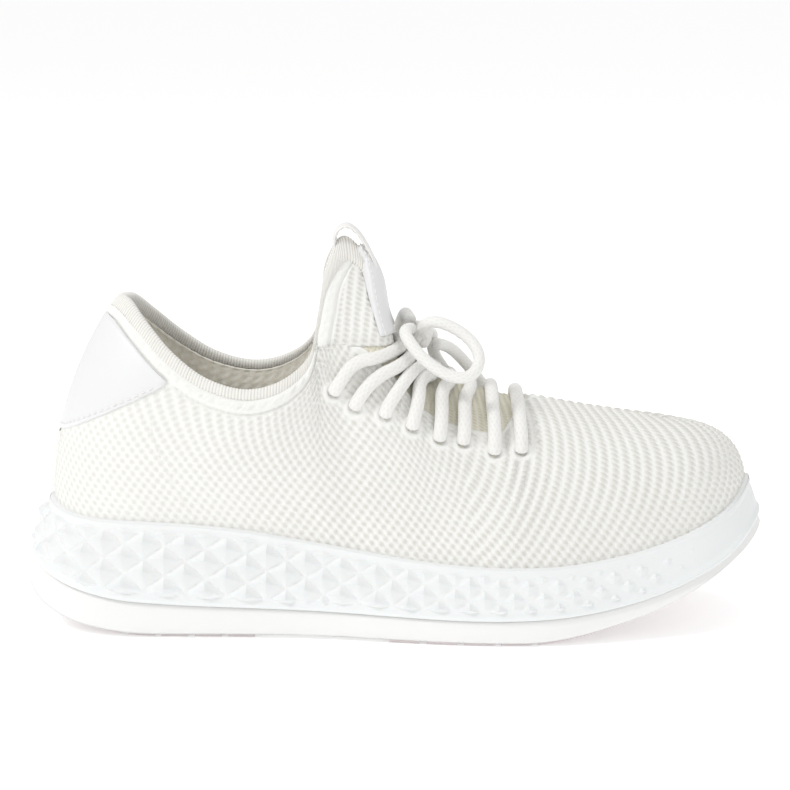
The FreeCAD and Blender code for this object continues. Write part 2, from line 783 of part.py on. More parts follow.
def offsetLine(points, distance):
    shifted = []
    for i, (x, z) in enumerate(points):
        (x0, z0), (x1, z1) = points[max(i - 1, 0)], points[min(i + 1, len(points) - 1)]
        along = math.hypot(x1 - x0, z1 - z0)
        shifted.append(Vector(x + distance * (z1 - z0) / along, z - distance * (x1 - x0) / along, 0))
    return shifted


band = size("loop_band")
rims = [offsetLine(loopLine, side * band / 2) for side in (-1, 1)]
bandCurves = []
for rim in rims:
    curve = Part.BSplineCurve()
    curve.interpolate(rim)
    bandCurves.append(curve)
bandCurves += [Part.LineSegment(rims[0][0], rims[1][0]), Part.LineSegment(rims[0][-1], rims[1][-1])]
parts["pull_loop"] = sideBlock("pull_loop", bandCurves, "loop_width")

# --- checks and files -----------------------------------------------------
doc.recompute()
for made in doc.Objects:
    bad = [word for word in made.State if word in ("Invalid", "Error")]
    if bad:
        raise RuntimeError("%s is %s" % (made.Label, bad))
os.makedirs("parts", exist_ok=True)
for name, made in parts.items():
    shape = made.Shape
    if shape.isNull() or not shape.isValid() or not shape.Solids:
        raise RuntimeError("%s has no sound shape" % name)
    print("%-22s %9.1f mm3, %d solids" % (name, shape.Volume, len(shape.Solids)))
    shape.exportStep("parts/%s.step" % name)
print(len(parts), "parts written")
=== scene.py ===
import math
from functools import partial

import bmesh
import bpy
import numpy as np
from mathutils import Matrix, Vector


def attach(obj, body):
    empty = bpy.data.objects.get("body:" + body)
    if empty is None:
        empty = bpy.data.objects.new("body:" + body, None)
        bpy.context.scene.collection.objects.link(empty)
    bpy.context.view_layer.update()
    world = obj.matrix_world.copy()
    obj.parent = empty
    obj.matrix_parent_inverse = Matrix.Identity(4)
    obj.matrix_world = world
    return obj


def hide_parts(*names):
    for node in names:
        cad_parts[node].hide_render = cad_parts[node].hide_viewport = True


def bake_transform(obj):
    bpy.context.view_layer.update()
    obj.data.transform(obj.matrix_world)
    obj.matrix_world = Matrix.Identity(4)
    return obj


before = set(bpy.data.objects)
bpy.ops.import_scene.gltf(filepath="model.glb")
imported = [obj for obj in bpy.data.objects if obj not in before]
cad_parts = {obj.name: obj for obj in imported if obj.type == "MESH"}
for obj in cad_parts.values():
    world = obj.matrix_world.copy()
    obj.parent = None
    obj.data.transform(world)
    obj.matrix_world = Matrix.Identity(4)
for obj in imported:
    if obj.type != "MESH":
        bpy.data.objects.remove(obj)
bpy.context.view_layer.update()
mm = 0.001


def smooth(t):
    t = np.clip(t, 0.0, 1.0)
    return t * t * (3 - 2 * t)


def dome(t):
    # rises as a quarter circle from 0 to 1
    return np.sqrt(np.clip(1 - (1 - np.clip(t, 0, 1))**2, 0, 1))


# The shoe's own lines, in millimetres: side views are (x, z), the middle seen from above is (x, y).
groundLine = [(-137, 15), (-131, 9), (-122, 5), (-110, 2.2), (-97, 0.5), (-84, 0), (0, 0), (46, 0),
              (62, 1.6), (77, 4.8), (92, 9), (106, 14.8), (119, 21.8), (129, 28), (137, 34)]
ledgeLine = [(-137, 27), (-131, 23.4), (-123, 19.8), (-110, 16.3), (-96, 14), (-64, 12.1), (-10, 10.6),
             (31, 9.8), (57, 10.6), (75, 12.6), (93, 16.4), (109, 21.8), (122, 28.2), (137, 40)]
topLine = [(-127, 45.5), (-120, 43.4), (-109, 42.4), (-90, 42), (-70, 41), (-51, 38.9), (-36, 36.4),
           (-3, 31.4), (16, 29.4), (35, 28), (54, 27.8), (69, 28.8), (87, 31.4), (102, 35.2), (115, 40),
           (124, 45), (133, 53)]
floorLine = [(-130, 28), (-110, 25), (-90, 24), (-60, 22.4), (-30, 19.4), (0, 16.2), (30, 14), (52, 13.6),
             (75, 15), (95, 19), (110, 24.5), (122, 31), (131, 37)]
flareLine = [(-130, 12.2), (-121, 10), (-97, 7.2), (-58, 5.8), (0, 4.8), (58, 6.4), (94, 7.4), (130, 8)]
middleLine = [(-130, 0), (-90, -0.8), (-58, -1.6), (-25, -3), (5, -2.4), (35, -0.8), (58, 1), (76, 3.2),
              (94, 5), (110, 6.2), (122, 6.6), (131, 6.6)]


def height(line, x):
    # a smooth line through its points, level beyond its ends
    xs, zs = np.array(line, float).T
    slopes = np.zeros(len(xs))
    slopes[1:-1] = (zs[2:] - zs[:-2]) / (xs[2:] - xs[:-2])
    slopes[0], slopes[-1] = (zs[1] - zs[0]) / (xs[1] - xs[0]), (zs[-1] - zs[-2]) / (xs[-1] - xs[-2])
    turns = (zs[2:] - zs[1:-1]) * (zs[1:-1] - zs[:-2]) <= 0
    slopes[1:-1][turns] = 0
    x = np.clip(np.asarray(x, float), xs[0], xs[-1])
    i = np.clip(np.searchsorted(xs, x, side="right") - 1, 0, len(xs) - 2)
    run = xs[i + 1] - xs[i]
    t = (x - xs[i]) / run
    start = (2 * t**3 - 3 * t**2 + 1) * zs[i] + (t**3 - 2 * t**2 + t) * run * slopes[i]
    return start + (3 * t**2 - 2 * t**3) * zs[i + 1] + (t**3 - t**2) * run * slopes[i + 1]


# Curves of the upper on its outer side, heel to toe: foot (x, y), two control points and the end (x, y, z).
ribs = [
    ((-124.5, 0), (-127, 0, 62), (-119.5, 0, 92), (-99.5, 0, 120)),
    ((-121, -12.7), (-123.5, -14.2, 62), (-115, -16, 91), (-95.5, -8.8, 119)),
    ((-111.5, -23.7), (-114, -25.5, 60), (-105, -28, 87), (-88.5, -17.5, 111.8)),
    ((-97, -29.2), (-98, -31.2, 58), (-91, -34.5, 81), (-79, -25.2, 102.4)),
    ((-78, -30.8), (-78, -32.8, 56), (-73, -36, 75), (-67, -29.5, 94)),
    ((-58, -31.4), (-58, -33.4, 54), (-54, -37, 72), (-53, -31, 90.2)),
    ((-42, -32.2), (-42, -34.2, 53), (-40, -37, 73), (-40, -29, 93.2)),
    ((-30, -33.4), (-30, -35.4, 53), (-30, -36, 79), (-30.5, -23, 101.5)),
    ((-22, -34.7), (-22, -37, 53), (-25, -32, 90), (-27.5, -16, 116)),
    ((-15, -36), (-15, -38.4, 52), (-20, -27, 99), (-25, -9, 130)),
    ((-8, -37.6), (-8, -40, 52), (-12, -26, 104), (-18.5, 0, 139)),
    ((0, -39.2), (0, -41.6, 51), (-3, -27, 102), (-10.5, 0, 131)),
    ((8, -40.6), (8, -43, 50), (5, -28, 96), (-5, 0, 117)),
    ((17, -42), (17, -44.6, 48), (13, -29, 88), (-1, 0, 103.8)),
    ((28, -43), (28, -45.6, 47), (23, -28, 83), (15, 0, 92)),
    ((42, -43.2), (42, -45.8, 46.5), (38, -26, 80), (34, 1, 85)),
    ((58, -41.6), (58, -44.2, 46.5), (55, -24, 78.5), (52, 2, 81)),
    ((76, -36.8), (77, -39.6, 48.5), (73, -22, 75.5), (69, 3, 77.6)),
    ((94, -30.6), (96, -33, 51.5), (90, -20, 73), (82, 4, 75.4)),
    ((110.5, -22.4), (113.5, -24.4, 56.5), (105, -15, 72), (91, 4.6, 73.8)),
    ((123, -10.6), (126.4, -11.2, 61), (115, -5, 71), (97, 5, 72.6)),
    ((128.6, 6.6), (132.4, 6.6, 64), (119.6, 6.2, 71), (99, 5.2, 72.2)),
]
toe = len(ribs) - 1
peak = 10
boardRise = 1.6
shell = {"bindingStart": 0.925, "tongueLevel": 104.2, "throatEnd": 16.0, "linerDepth": 2.1}


def ribPoints(i):
    foot, low, high, end = ribs[abs(i)]
    foot = (foot[0], foot[1], float(height(floorLine, foot[0])) + boardRise)
    if i <= 0 or i == toe:
        return [foot, low, high, end]
    ridge = end[1] if i > peak else 0
    mirrored = []
    for point, share in ((foot, 0), (low, 0), (high, 0.5), (end, 1)):
        middle = float(height(middleLine, point[0])) * (1 - share) + ridge * share
        mirrored.append((point[0], 2 * middle - point[1], point[2]))
    return mirrored


ribTable = np.array([ribPoints((i + toe) % (2 * toe) - toe) for i in range(2 * toe)])


def aroundToe(q):
    return (q + toe) % (2 * toe) - toe


def paired(q, v):
    return np.broadcast_arrays(np.asarray(q, float), np.asarray(v, float))


def skin(q, v):
    # outer face of the upper: q counts ribs round the shoe, minus on the outer side; v runs from sole to rim
    q, v = paired(q, v)
    i = np.floor(q).astype(int)
    t = q - i
    w = ((-t**3 + 2 * t**2 - t) / 2, (3 * t**3 - 5 * t**2 + 2) / 2,
         (-3 * t**3 + 4 * t**2 + t) / 2, (t**3 - t**2) / 2)
    b = ((1 - v)**3, 3 * v * (1 - v)**2, 3 * v**2 * (1 - v), v**3)
    point = np.zeros(q.shape + (3,))
    for k in range(4):
        rib = ribTable[(i + k - 1) % (2 * toe)]
        for m in range(4):
            point += (w[k] * b[m])[..., None] * rib[..., m, :]
    return point


def unit(vectors):
    return vectors / np.maximum(np.linalg.norm(vectors, axis=-1, keepdims=True), 1e-9)


def outward(q, v):
    q, v = paired(q, v)
    step = 0.02
    high = np.minimum(v, 1 - step)

    def normalAt(side, along):
        return unit(np.cross(skin(side, high + step) - skin(side, high - step),
                             skin(side + along, high) - skin(side - along, high)))

    normal = normalAt(q, step)
    shared = (v > 1 - step) & (np.abs(aroundToe(q)) >= peak)
    both = unit(normal + normalAt(-q, step))
    return np.where(shared[..., None], both, normal)


def layer(q, v, out):
    return skin(q, v) + outward(q, v) * np.asarray(out, float)[..., None]


def bisect(low, high, isLow, steps=22):
    low, high = np.array(low, float), np.array(high, float)
    for _ in range(steps):
        middle = (low + high) / 2
        below = isLow(middle)
        low, high = np.where(below, middle, low), np.where(below, high, middle)
    return (low + high) / 2


def levelPlace(q, z):
    q, z = paired(q, z)
    found = bisect(np.full(q.shape, 0.02), np.ones(q.shape), lambda v: skin(q, v)[..., 2] < z)
    return np.where(skin(q, 1)[..., 2] <= z, 1.0, found)


def crossing(z, v):
    # rib number where the rim, or the ridge for v = 1, is at a level
    z = np.asarray(z, float)
    low, high = (6.5, float(peak)) if v < 1 else (float(peak), 13.0)
    return bisect(np.full(z.shape, low), np.full(z.shape, high),
                  lambda q: (skin(-q, v)[..., 2] < z) == (v < 1))


def alongRow(points):
    steps = np.linalg.norm(np.diff(points, axis=0), axis=-1)
    return np.concatenate([np.zeros((1,) + steps.shape[1:]), np.cumsum(steps, axis=0)])


# How far every place on the upper is from the toe along its row and from the sole up its column.
tableQ, tableV = np.linspace(-toe, toe, 841), np.linspace(0, 1, 81)
tableSkin = skin(tableQ[:, None], tableV[None])
fromToe = alongRow(tableSkin)
fromToe = np.where(tableQ[:, None] <= 0, fromToe, -alongRow(tableSkin[::-1])[::-1])
fromSole = alongRow(tableSkin.transpose(1, 0, 2)).T


def lookUp(table, q, v):
    q = aroundToe(q)
    a = np.clip((q + toe) / (2 * toe) * (len(tableQ) - 1), 0, len(tableQ) - 1.001)
    b = np.clip(v * (len(tableV) - 1), 0, len(tableV) - 1.001)
    i, j = a.astype(int), b.astype(int)
    s, t = a - i, b - j
    return ((1 - s) * (1 - t) * table[i, j] + s * (1 - t) * table[i + 1, j]
            + (1 - s) * t * table[i, j + 1] + s * t * table[i + 1, j + 1])


def belowRim(q, v):
    return lookUp(fromSole, q, np.ones_like(v)) - lookUp(fromSole, q, v)


def fabricPlace(q, v):
    # place in the cloth: along from the toe, and across from the ridge, minus on the outer side
    side = np.where(q <= 0, -1.0, 1.0)
    rise = lookUp(fromSole, q, v) - lookUp(fromSole, side * np.maximum(np.abs(q), 14.0), np.ones_like(v))
    return lookUp(fromToe, q, v), -side * rise


def evenStations(q0, q1, v, step):
    fine = np.linspace(q0, q1, 2000)
    along = alongRow(skin(fine, np.full(2000, v)))
    return np.interp(np.linspace(0, along[-1], max(4, int(along[-1] / step))), along, fine)


print("shoe lines ready")


# Node helpers used by every tree below.
def addNode(tree, kind, inputs=None, **settings):
    node = tree.nodes.new(kind)
    for key, value in settings.items():
        setattr(node, key, value)
    for key, value in (inputs or {}).items():
        socket = node.inputs[key]
        if isinstance(value, bpy.types.NodeSocket):
            tree.links.new(value, socket)
        else:
            socket.default_value = value
    return node


def calc(tree, operation, *values):
    return addNode(tree, "ShaderNodeMath", dict(enumerate(values)), operation=operation).outputs[0]


def ease(do, value, start, finish):
    # smooth step from start to finish, in the tree that do works in
    return addNode(do.args[0], "ShaderNodeMapRange", {"Value": value, "From Min": start, "From Max": finish},
                   interpolation_type="SMOOTHSTEP").outputs["Result"]


def newTree(name, kind, inputs, outputs):
    tree = bpy.data.node_groups.new(name, kind)
    for label, socketType in inputs:
        tree.interface.new_socket(label, in_out="INPUT", socket_type="NodeSocket" + socketType)
    for label, socketType in outputs:
        tree.interface.new_socket(label, in_out="OUTPUT", socket_type="NodeSocket" + socketType)
    return tree, tree.nodes.new("NodeGroupInput"), tree.nodes.new("NodeGroupOutput")


def geometryTree(name, sizes):
    inputs = [("Geometry", "Geometry"), *((label, "Float") for label in sizes), ("Material", "Material")]
    return newTree(name, "GeometryNodeTree", inputs, [("Geometry", "Geometry")])


def endTree(tree, geometry, given, result):
    real = addNode(tree, "GeometryNodeRealizeInstances", {0: geometry})
    ended = addNode(tree, "GeometryNodeSetMaterial",
                    {"Geometry": real.outputs[0], "Material": given.outputs["Material"]})
    tree.links.new(ended.outputs[0], result.inputs[0])
    return tree


# Geometry Nodes trees: each raises or presses a pattern into a surface from its "cloth" attribute, and
# stores how deep its hollows lie as a mask the materials darken as painted shade.
def reliefTree(name, sizes, pattern):
    tree, given, result = geometryTree(name, sizes)
    cloth = addNode(tree, "GeometryNodeInputNamedAttribute", {"Name": "cloth"}, data_type="FLOAT_VECTOR")
    parts = addNode(tree, "ShaderNodeSeparateXYZ", {0: cloth.outputs[0]}).outputs
    rise, shadeMask = pattern(partial(calc, tree), parts, given.outputs)
    normal = tree.nodes.new("GeometryNodeInputNormal").outputs[0]
    offset = addNode(tree, "ShaderNodeVectorMath", {0: normal, "Scale": rise}, operation="SCALE").outputs[0]
    moved = addNode(tree, "GeometryNodeSetPosition", {0: given.outputs["Geometry"], "Offset": offset})
    # the stored mask is painted shade: the material darkens the hollows with it
    stored = addNode(tree, "GeometryNodeStoreNamedAttribute",
                     {"Geometry": moved.outputs[0], "Name": "pitShade", "Value": shadeMask}, data_type="FLOAT")
    return endTree(tree, stored.outputs[0], given, result)


def cellPattern(do, cloth, sizes, start, finish):
    # staggered rows of round cells, hollow where their share of the cell width runs from start to finish
    def fromCentre(shift):
        squares = []
        for axis, size in (("X", "Cell width"), ("Y", "Cell height")):
            share = do("FRACT", do("ADD", do("DIVIDE", cloth[axis], sizes[size]), shift))
            squares.append(do("POWER", do("MULTIPLY", do("SUBTRACT", share, 0.5), sizes[size]), 2.0))
        return do("SQRT", do("ADD", *squares))

    share = do("DIVIDE", do("MINIMUM", fromCentre(0.0), fromCentre(0.5)), sizes["Cell width"])
    # how deep a place lies in its cell, which also sets the painted shade there
    pitShade = do("MULTIPLY", ease(do, share, start, finish), cloth["Z"])
    return do("MULTIPLY", pitShade, do("MULTIPLY", sizes["Depth"], -1.0)), pitShade


def bubblePattern(do, cloth, sizes):
    return cellPattern(do, cloth, sizes, 0.22, 0.56)


def netPattern(do, cloth, sizes):
    return cellPattern(do, cloth, sizes, 0.38, 0.1)


def facetPattern(do, cloth, sizes):
    # four-sided recesses set edge to edge, deepest above their middle
    near = do("ROUND", do("MULTIPLY", do("ADD", cloth["X"], cloth["Y"]), 0.5))
    far = do("ROUND", do("MULTIPLY", do("SUBTRACT", cloth["X"], cloth["Y"]), 0.5))
    inner = do("SUBTRACT", 1.0, do("ABSOLUTE", do("SUBTRACT", cloth["X"], do("ADD", near, far))))
    y = do("SUBTRACT", do("SUBTRACT", near, far), cloth["Y"])
    above = do("DIVIDE", do("SUBTRACT", inner, y), do("SUBTRACT", 1.0, sizes["Lift"]))
    below = do("DIVIDE", do("ADD", inner, y), do("ADD", 1.0, sizes["Lift"]))
    deep = do("SUBTRACT", do("MINIMUM", above, below), do("SUBTRACT", 1.0, cloth["Z"]))
    deep = do("MAXIMUM", deep, 0.0)
    # the depth of each recess also sets the painted shade in it
    return do("MULTIPLY", deep, do("MULTIPLY", sizes["Depth"], -1.0)), deep


def ribPattern(do, cloth, sizes):
    turn = do("MULTIPLY", do("DIVIDE", cloth["X"], sizes["Pitch"]), math.pi)
    wave = do("ABSOLUTE", do("SINE", turn))
    rise = do("MULTIPLY", do("SUBTRACT", wave, 1.0), sizes["Depth"])
    # the grooves between the ribs get painted shade
    return do("MULTIPLY", rise, cloth["Z"]), do("SUBTRACT", 1.0, wave)


def braidPattern(do, cloth, sizes):
    # strands crossing both ways round a cord
    along = do("MULTIPLY", do("DIVIDE", cloth["X"], sizes["Pitch"]), 2 * math.pi)
    turn = do("MULTIPLY", cloth["Y"], sizes["Strands"])
    high = do("MAXIMUM", *(do("SINE", do(way, turn, along)) for way in ("ADD", "SUBTRACT")))
    # the low places between strands get painted shade
    return do("MULTIPLY", do("SUBTRACT", high, 0.5), sizes["Depth"]), ease(do, high, 0.7, -0.4)


cellSizes = ["Cell width", "Cell height", "Depth"]
bubbleTree = reliefTree("knitBubbles", cellSizes, bubblePattern)
netTree = reliefTree("knitNet", cellSizes, netPattern)
facetTree = reliefTree("soleFacets", ["Lift", "Depth"], facetPattern)
ribTree = reliefTree("bindingRibs", ["Pitch", "Depth"], ribPattern)
braidTree = reliefTree("laceBraid", ["Pitch", "Strands", "Depth"], braidPattern)


def stitchTree():
    tree, given, result = geometryTree("stitchRun", ["Spacing", "Length", "Thickness"])
    curve = addNode(tree, "GeometryNodeMeshToCurve", {0: given.outputs["Geometry"]})
    spaced = addNode(tree, "GeometryNodeResampleCurve",
                     {"Curve": curve.outputs[0], "Length": given.outputs["Spacing"]}, mode="LENGTH")
    points = addNode(tree, "GeometryNodeCurveToPoints", {"Curve": spaced.outputs[0]}, mode="EVALUATED")
    bead = addNode(tree, "GeometryNodeMeshUVSphere", {"Segments": 8, "Rings": 6, "Radius": 0.5})
    thick = given.outputs["Thickness"]
    size = addNode(tree, "ShaderNodeCombineXYZ", {"X": thick, "Y": thick, "Z": given.outputs["Length"]})
    placed = addNode(tree, "GeometryNodeInstanceOnPoints",
                     {"Points": points.outputs["Points"], "Instance": bead.outputs["Mesh"],
                      "Rotation": points.outputs["Rotation"], "Scale": size.outputs[0]})
    soft = addNode(tree, "GeometryNodeSetShadeSmooth", {0: placed.outputs[0]})
    return endTree(tree, soft.outputs[0], given, result)


stitchRun = stitchTree()


def applyTree(piece, tree, values):
    # runs the tree once and keeps the plain mesh it makes
    modifier = piece.modifiers.new(tree.name, "NODES")
    modifier.node_group = tree
    for item in tree.interface.items_tree:
        if item.in_out == "INPUT" and item.name in values:
            modifier[item.identifier] = values[item.name]
    graph = bpy.context.evaluated_depsgraph_get()
    made = bpy.data.meshes.new_from_object(piece.evaluated_get(graph), depsgraph=graph)
    piece.modifiers.clear()
    piece.data = made
    return piece


print("node trees ready")


# Materials.
def grainTree():
    tree, given, result = newTree("yarnGrain", "ShaderNodeTree",
                                  [("Scale", "Float"), ("Stretch", "Float")],
                                  [("Height", "Float"), ("Mottle", "Float")])
    place = addNode(tree, "ShaderNodeTexCoord").outputs["Object"]
    stretch = addNode(tree, "ShaderNodeCombineXYZ", {"X": 1.0, "Y": 1.0, "Z": given.outputs["Stretch"]})
    scaled = addNode(tree, "ShaderNodeVectorMath", {0: place, 1: stretch.outputs[0]}, operation="MULTIPLY")
    fine = addNode(tree, "ShaderNodeTexNoise", {"Vector": scaled.outputs[0], "Scale": given.outputs["Scale"],
                                                "Detail": 3.0, "Roughness": 0.6})
    broad = addNode(tree, "ShaderNodeTexNoise", {"Vector": place, "Scale": 38.0, "Detail": 2.0})
    tree.links.new(fine.outputs[0], result.inputs["Height"])
    tree.links.new(broad.outputs[0], result.inputs["Mottle"])
    return tree


yarnGrain = grainTree()


def finish(name, base, hollowShade, roughness, grain, sheen=0, coat=0, mottle=0.06, subsurface=0):
    # base is its colour and the second colour the painted shade of its hollows; grain is (scale, stretch,
    # strength)
    made = bpy.data.materials.new(name)
    made.use_nodes = True
    tree = made.node_tree
    shader = tree.nodes["Principled BSDF"]
    for key, value in {"Sheen Weight": sheen, "Coat Weight": coat, "Subsurface Weight": subsurface,
                       "IOR": 1.45}.items():
        shader.inputs[key].default_value = value
    grainNode = addNode(tree, "ShaderNodeGroup", node_tree=yarnGrain)
    grainNode.inputs["Scale"].default_value, grainNode.inputs["Stretch"].default_value = grain[:2]
    # the stored hollow depth mixes the base towards the darker colour as painted shade; the mottle adds
    # random tone
    pitShade = addNode(tree, "ShaderNodeAttribute", attribute_name="pitShade").outputs["Fac"]
    cloud = calc(tree, "SUBTRACT", grainNode.outputs["Mottle"], 0.5)
    shadeAndMottle = calc(tree, "ADD", pitShade, calc(tree, "MULTIPLY", cloud, mottle * 6))
    tree.links.new(colourMix(tree, shadeAndMottle, base, hollowShade), shader.inputs["Base Color"])
    rough = calc(tree, "ADD", calc(tree, "MULTIPLY", grainNode.outputs["Height"], 0.16), roughness - 0.08)
    tree.links.new(rough, shader.inputs["Roughness"])
    bump = addNode(tree, "ShaderNodeBump", {"Strength": grain[2], "Distance": 0.0006,
                                            "Height": grainNode.outputs["Height"]})
    tree.links.new(bump.outputs[0], shader.inputs["Normal"])
    return made


def colourMix(tree, factor, first, second):
    mix = tree.nodes.new("ShaderNodeMix")
    mix.data_type = "RGBA"
    mix.clamp_factor = True
    tree.links.new(factor, mix.inputs["Factor"])
    colours = [socket for socket in mix.inputs if socket.type == "RGBA"]
    colours[0].default_value, colours[1].default_value = first + (1.0,), second + (1.0,)
    return [socket for socket in mix.outputs if socket.type == "RGBA"][0]


# Key: name, base, darker colour painted into the hollows as shade, roughness, grain, then sheen, coat,
# mottle and subsurface where they differ.
finishes = {
    "knit": ("warmWhiteKnit", (0.88, 0.878, 0.85), (0.68, 0.67, 0.62), 0.85, (2600, 0.5, 0.35), 0.2),
    "binding": ("ribbedKnit", (0.88, 0.878, 0.85), (0.66, 0.63, 0.56), 0.85, (3000, 1, 0.3), 0.2),
    "lining": ("bootieLining", (0.94, 0.915, 0.84), (0.80, 0.75, 0.62), 0.9, (2400, 1, 0.3), 0.3),
    "mesh": ("throatMesh", (0.93, 0.91, 0.81), (0.72, 0.68, 0.53), 0.9, (3000, 1, 0.3), 0.2),
    "foam": ("coolWhiteFoam", (0.84, 0.845, 0.84), (0.74, 0.75, 0.75), 0.5, (900, 1, 0.06),
             0, 0, 0.02, 0.05),
    "rubber": ("sidewallRubber", (0.84, 0.84, 0.83), (0.78, 0.78, 0.77), 0.5, (1200, 1, 0.08),
               0, 0, 0.03),
    "tread": ("treadRubber", (0.72, 0.66, 0.66), (0.62, 0.55, 0.55), 0.62, (900, 1, 0.3), 0, 0, 0.06),
    "smoothPatch": ("smoothPatch", (0.79, 0.79, 0.795), (0.73, 0.73, 0.74), 0.42, (1500, 1, 0.10),
                    0, 0.08, 0.03),
    "thread": ("sewingThread", (0.86, 0.85, 0.82), (0.72, 0.7, 0.66), 0.7, (5000, 1, 0.2), 0.2),
    "lace": ("roundLace", (0.86, 0.855, 0.835), (0.80, 0.79, 0.75), 0.8, (4200, 1, 0.25), 0.2),
    "tip": ("laceTipFilm", (0.78, 0.78, 0.76), (0.68, 0.67, 0.64), 0.3, (700, 1, 0.04), 0, 0.4, 0.02),
    "board": ("boardFibre", (0.62, 0.58, 0.50), (0.48, 0.44, 0.37), 0.9, (1100, 1, 0.4)),
    "stiffener": ("counterShell", (0.66, 0.64, 0.58), (0.54, 0.52, 0.47), 0.7, (900, 1, 0.2)),
    "insole": ("insoleCloth", (0.60, 0.57, 0.50), (0.42, 0.39, 0.33), 0.9, (2200, 1, 0.4), 0.2),
    "loop": ("loopBand", (0.86, 0.85, 0.83), (0.70, 0.65, 0.58), 0.5, (1500, 1, 0.10), 0, 0.06, 0.05),
}
finishes = {key: finish(*row) for key, row in finishes.items()}
print("materials ready")


# Mesh helpers.
def linked(name, data):
    made = bpy.data.objects.new(name, data)
    bpy.context.scene.collection.objects.link(made)
    return made


def newPiece(name, points, faces, cloth=None, material=None, merge=False):
    # points in millimetres; cloth is a place in the fabric for every point
    mesh = bpy.data.meshes.new(name)
    mesh.from_pydata((np.asarray(points) * mm).tolist(), [], np.asarray(faces).tolist())
    if cloth is not None:
        attribute = mesh.attributes.new("cloth", "FLOAT_VECTOR", "POINT")
        attribute.data.foreach_set("vector", np.asarray(cloth, float).ravel())
    if merge:
        bm = bmesh.new()
        bm.from_mesh(mesh)
        bmesh.ops.remove_doubles(bm, verts=bm.verts, dist=0.00002)
        bm.to_mesh(mesh)
        bm.free()
    mesh.shade_smooth()
    mesh.update()
    piece = linked(name, mesh)
    if material:
        mesh.materials.append(finishes[material])
    return piece


def woven(*parts):
    # a place in the fabric and its strength for every point
    return np.stack(np.broadcast_arrays(*parts), -1)


def gridFaces(across, up, closedAcross=False, closedUp=False, flip=False):
    i, j = np.meshgrid(np.arange(across if closedAcross else across - 1),
                       np.arange(up if closedUp else up - 1), indexing="ij")
    i2, j2 = (i + 1) % across, (j + 1) % up
    faces = np.stack([i * up + j, i2 * up + j, i2 * up + j2, i * up + j2], -1).reshape(-1, 4)
    return faces[:, ::-1] if flip else faces


def gridPiece(name, points, cloth=None, material=None, flip=False, merge=False, closedUp=False):
    across, up = points.shape[:2]
    return newPiece(name, points.reshape(-1, 3), gridFaces(across, up, False, closedUp, flip),
                    None if cloth is None else cloth.reshape(-1, 3), material, merge)


def thicken(piece, thickness):
    # thickness in millimetres, grown inwards
    modifier = piece.modifiers.new("thickness", "SOLIDIFY")
    modifier.thickness, modifier.offset = thickness * mm, -1


def closeEnds(piece):
    bm = bmesh.new()
    bm.from_mesh(piece.data)
    bmesh.ops.holes_fill(bm, edges=[e for e in bm.edges if e.is_boundary], sides=0)
    bm.to_mesh(piece.data)
    bm.free()


def cells(piece, tree, width, tall, depth, finishName):
    # presses a cell pattern with its sizes in millimetres
    return applyTree(piece, tree, {"Cell width": width * mm, "Cell height": tall * mm, "Depth": depth * mm,
                                   "Material": finishes[finishName]})


def stitches(name, runs, body, length, spacing, thickness):
    # runs are lists of points in millimetres
    points, edges = [], []
    for run in runs:
        start = len(points)
        points += list(run)
        edges += [(start + k, start + k + 1) for k in range(len(run) - 1)]
    mesh = bpy.data.meshes.new(name)
    mesh.from_pydata((np.array(points) * mm).tolist(), edges, [])
    piece = linked(name, mesh)
    applyTree(piece, stitchRun, {"Spacing": spacing * mm, "Length": length * mm,
                                 "Thickness": thickness * mm, "Material": finishes["thread"]})
    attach(piece, body)


# Knit upper.
upper = {"step": 0.6, "rows": 136, "split": 15.0, "cellWidth": 3.55, "cellHeight": 4.2, "depth": 0.7,
         "collarWidth": 9.4, "bindingWidth": 4.2, "collarSwell": 1.0,
         "blendStart": (0.05, 0, 0.04), "blendEnd": (0.08, 0, 0.04)}
laceRows = [
    ((15.4, 0.6), (15.45, 0.8), (15.5, 0.92)),
    ((14.8, 0.58), (14.9, 0.8), (14.98, 0.92)),
    ((14.1, 0.6), (14.3, 0.8), (14.55, 0.9)),
    ((13.4, 0.58), (13.75, 0.8), (14.15, 0.9)),
    ((12.2, 0.55), (13.05, 0.78), (13.8, 0.9)),
    ((10.9, 0.53), (12.45, 0.75), (13.5, 0.9)),
    ((9.6, 0.54), (11.75, 0.71), (13.17, 0.9)),
    ((8.6, 0.63), (10.9, 0.685), (12.76, 0.895)),
]
eyelets = np.array([skin(side * row[0][0], row[0][1]) for row in laceRows for side in (-1, 1)])


def bell(distance, width):
    return np.exp(-(distance / width)**2)


def collarSwell(rim):
    width = upper["collarWidth"] - upper["bindingWidth"]
    return upper["collarSwell"] * np.sin(math.pi * np.clip((rim - upper["bindingWidth"]) / width, 0, 1))


def upperEdge(q):
    s = np.abs(q)
    collar = np.where(s > 5.5, np.minimum(shell["bindingStart"] + 0.02, levelPlace(q, shell["tongueLevel"])),
                      shell["bindingStart"] + 0.02)
    start = levelPlace(np.full_like(s, peak), shell["tongueLevel"])
    throat = start + (0.68 - start) * smooth(s - peak)
    throat = throat + (1 - throat) * smooth((s - 14.9) / (shell["throatEnd"] - 14.9))
    return np.where(s <= peak, collar, throat)


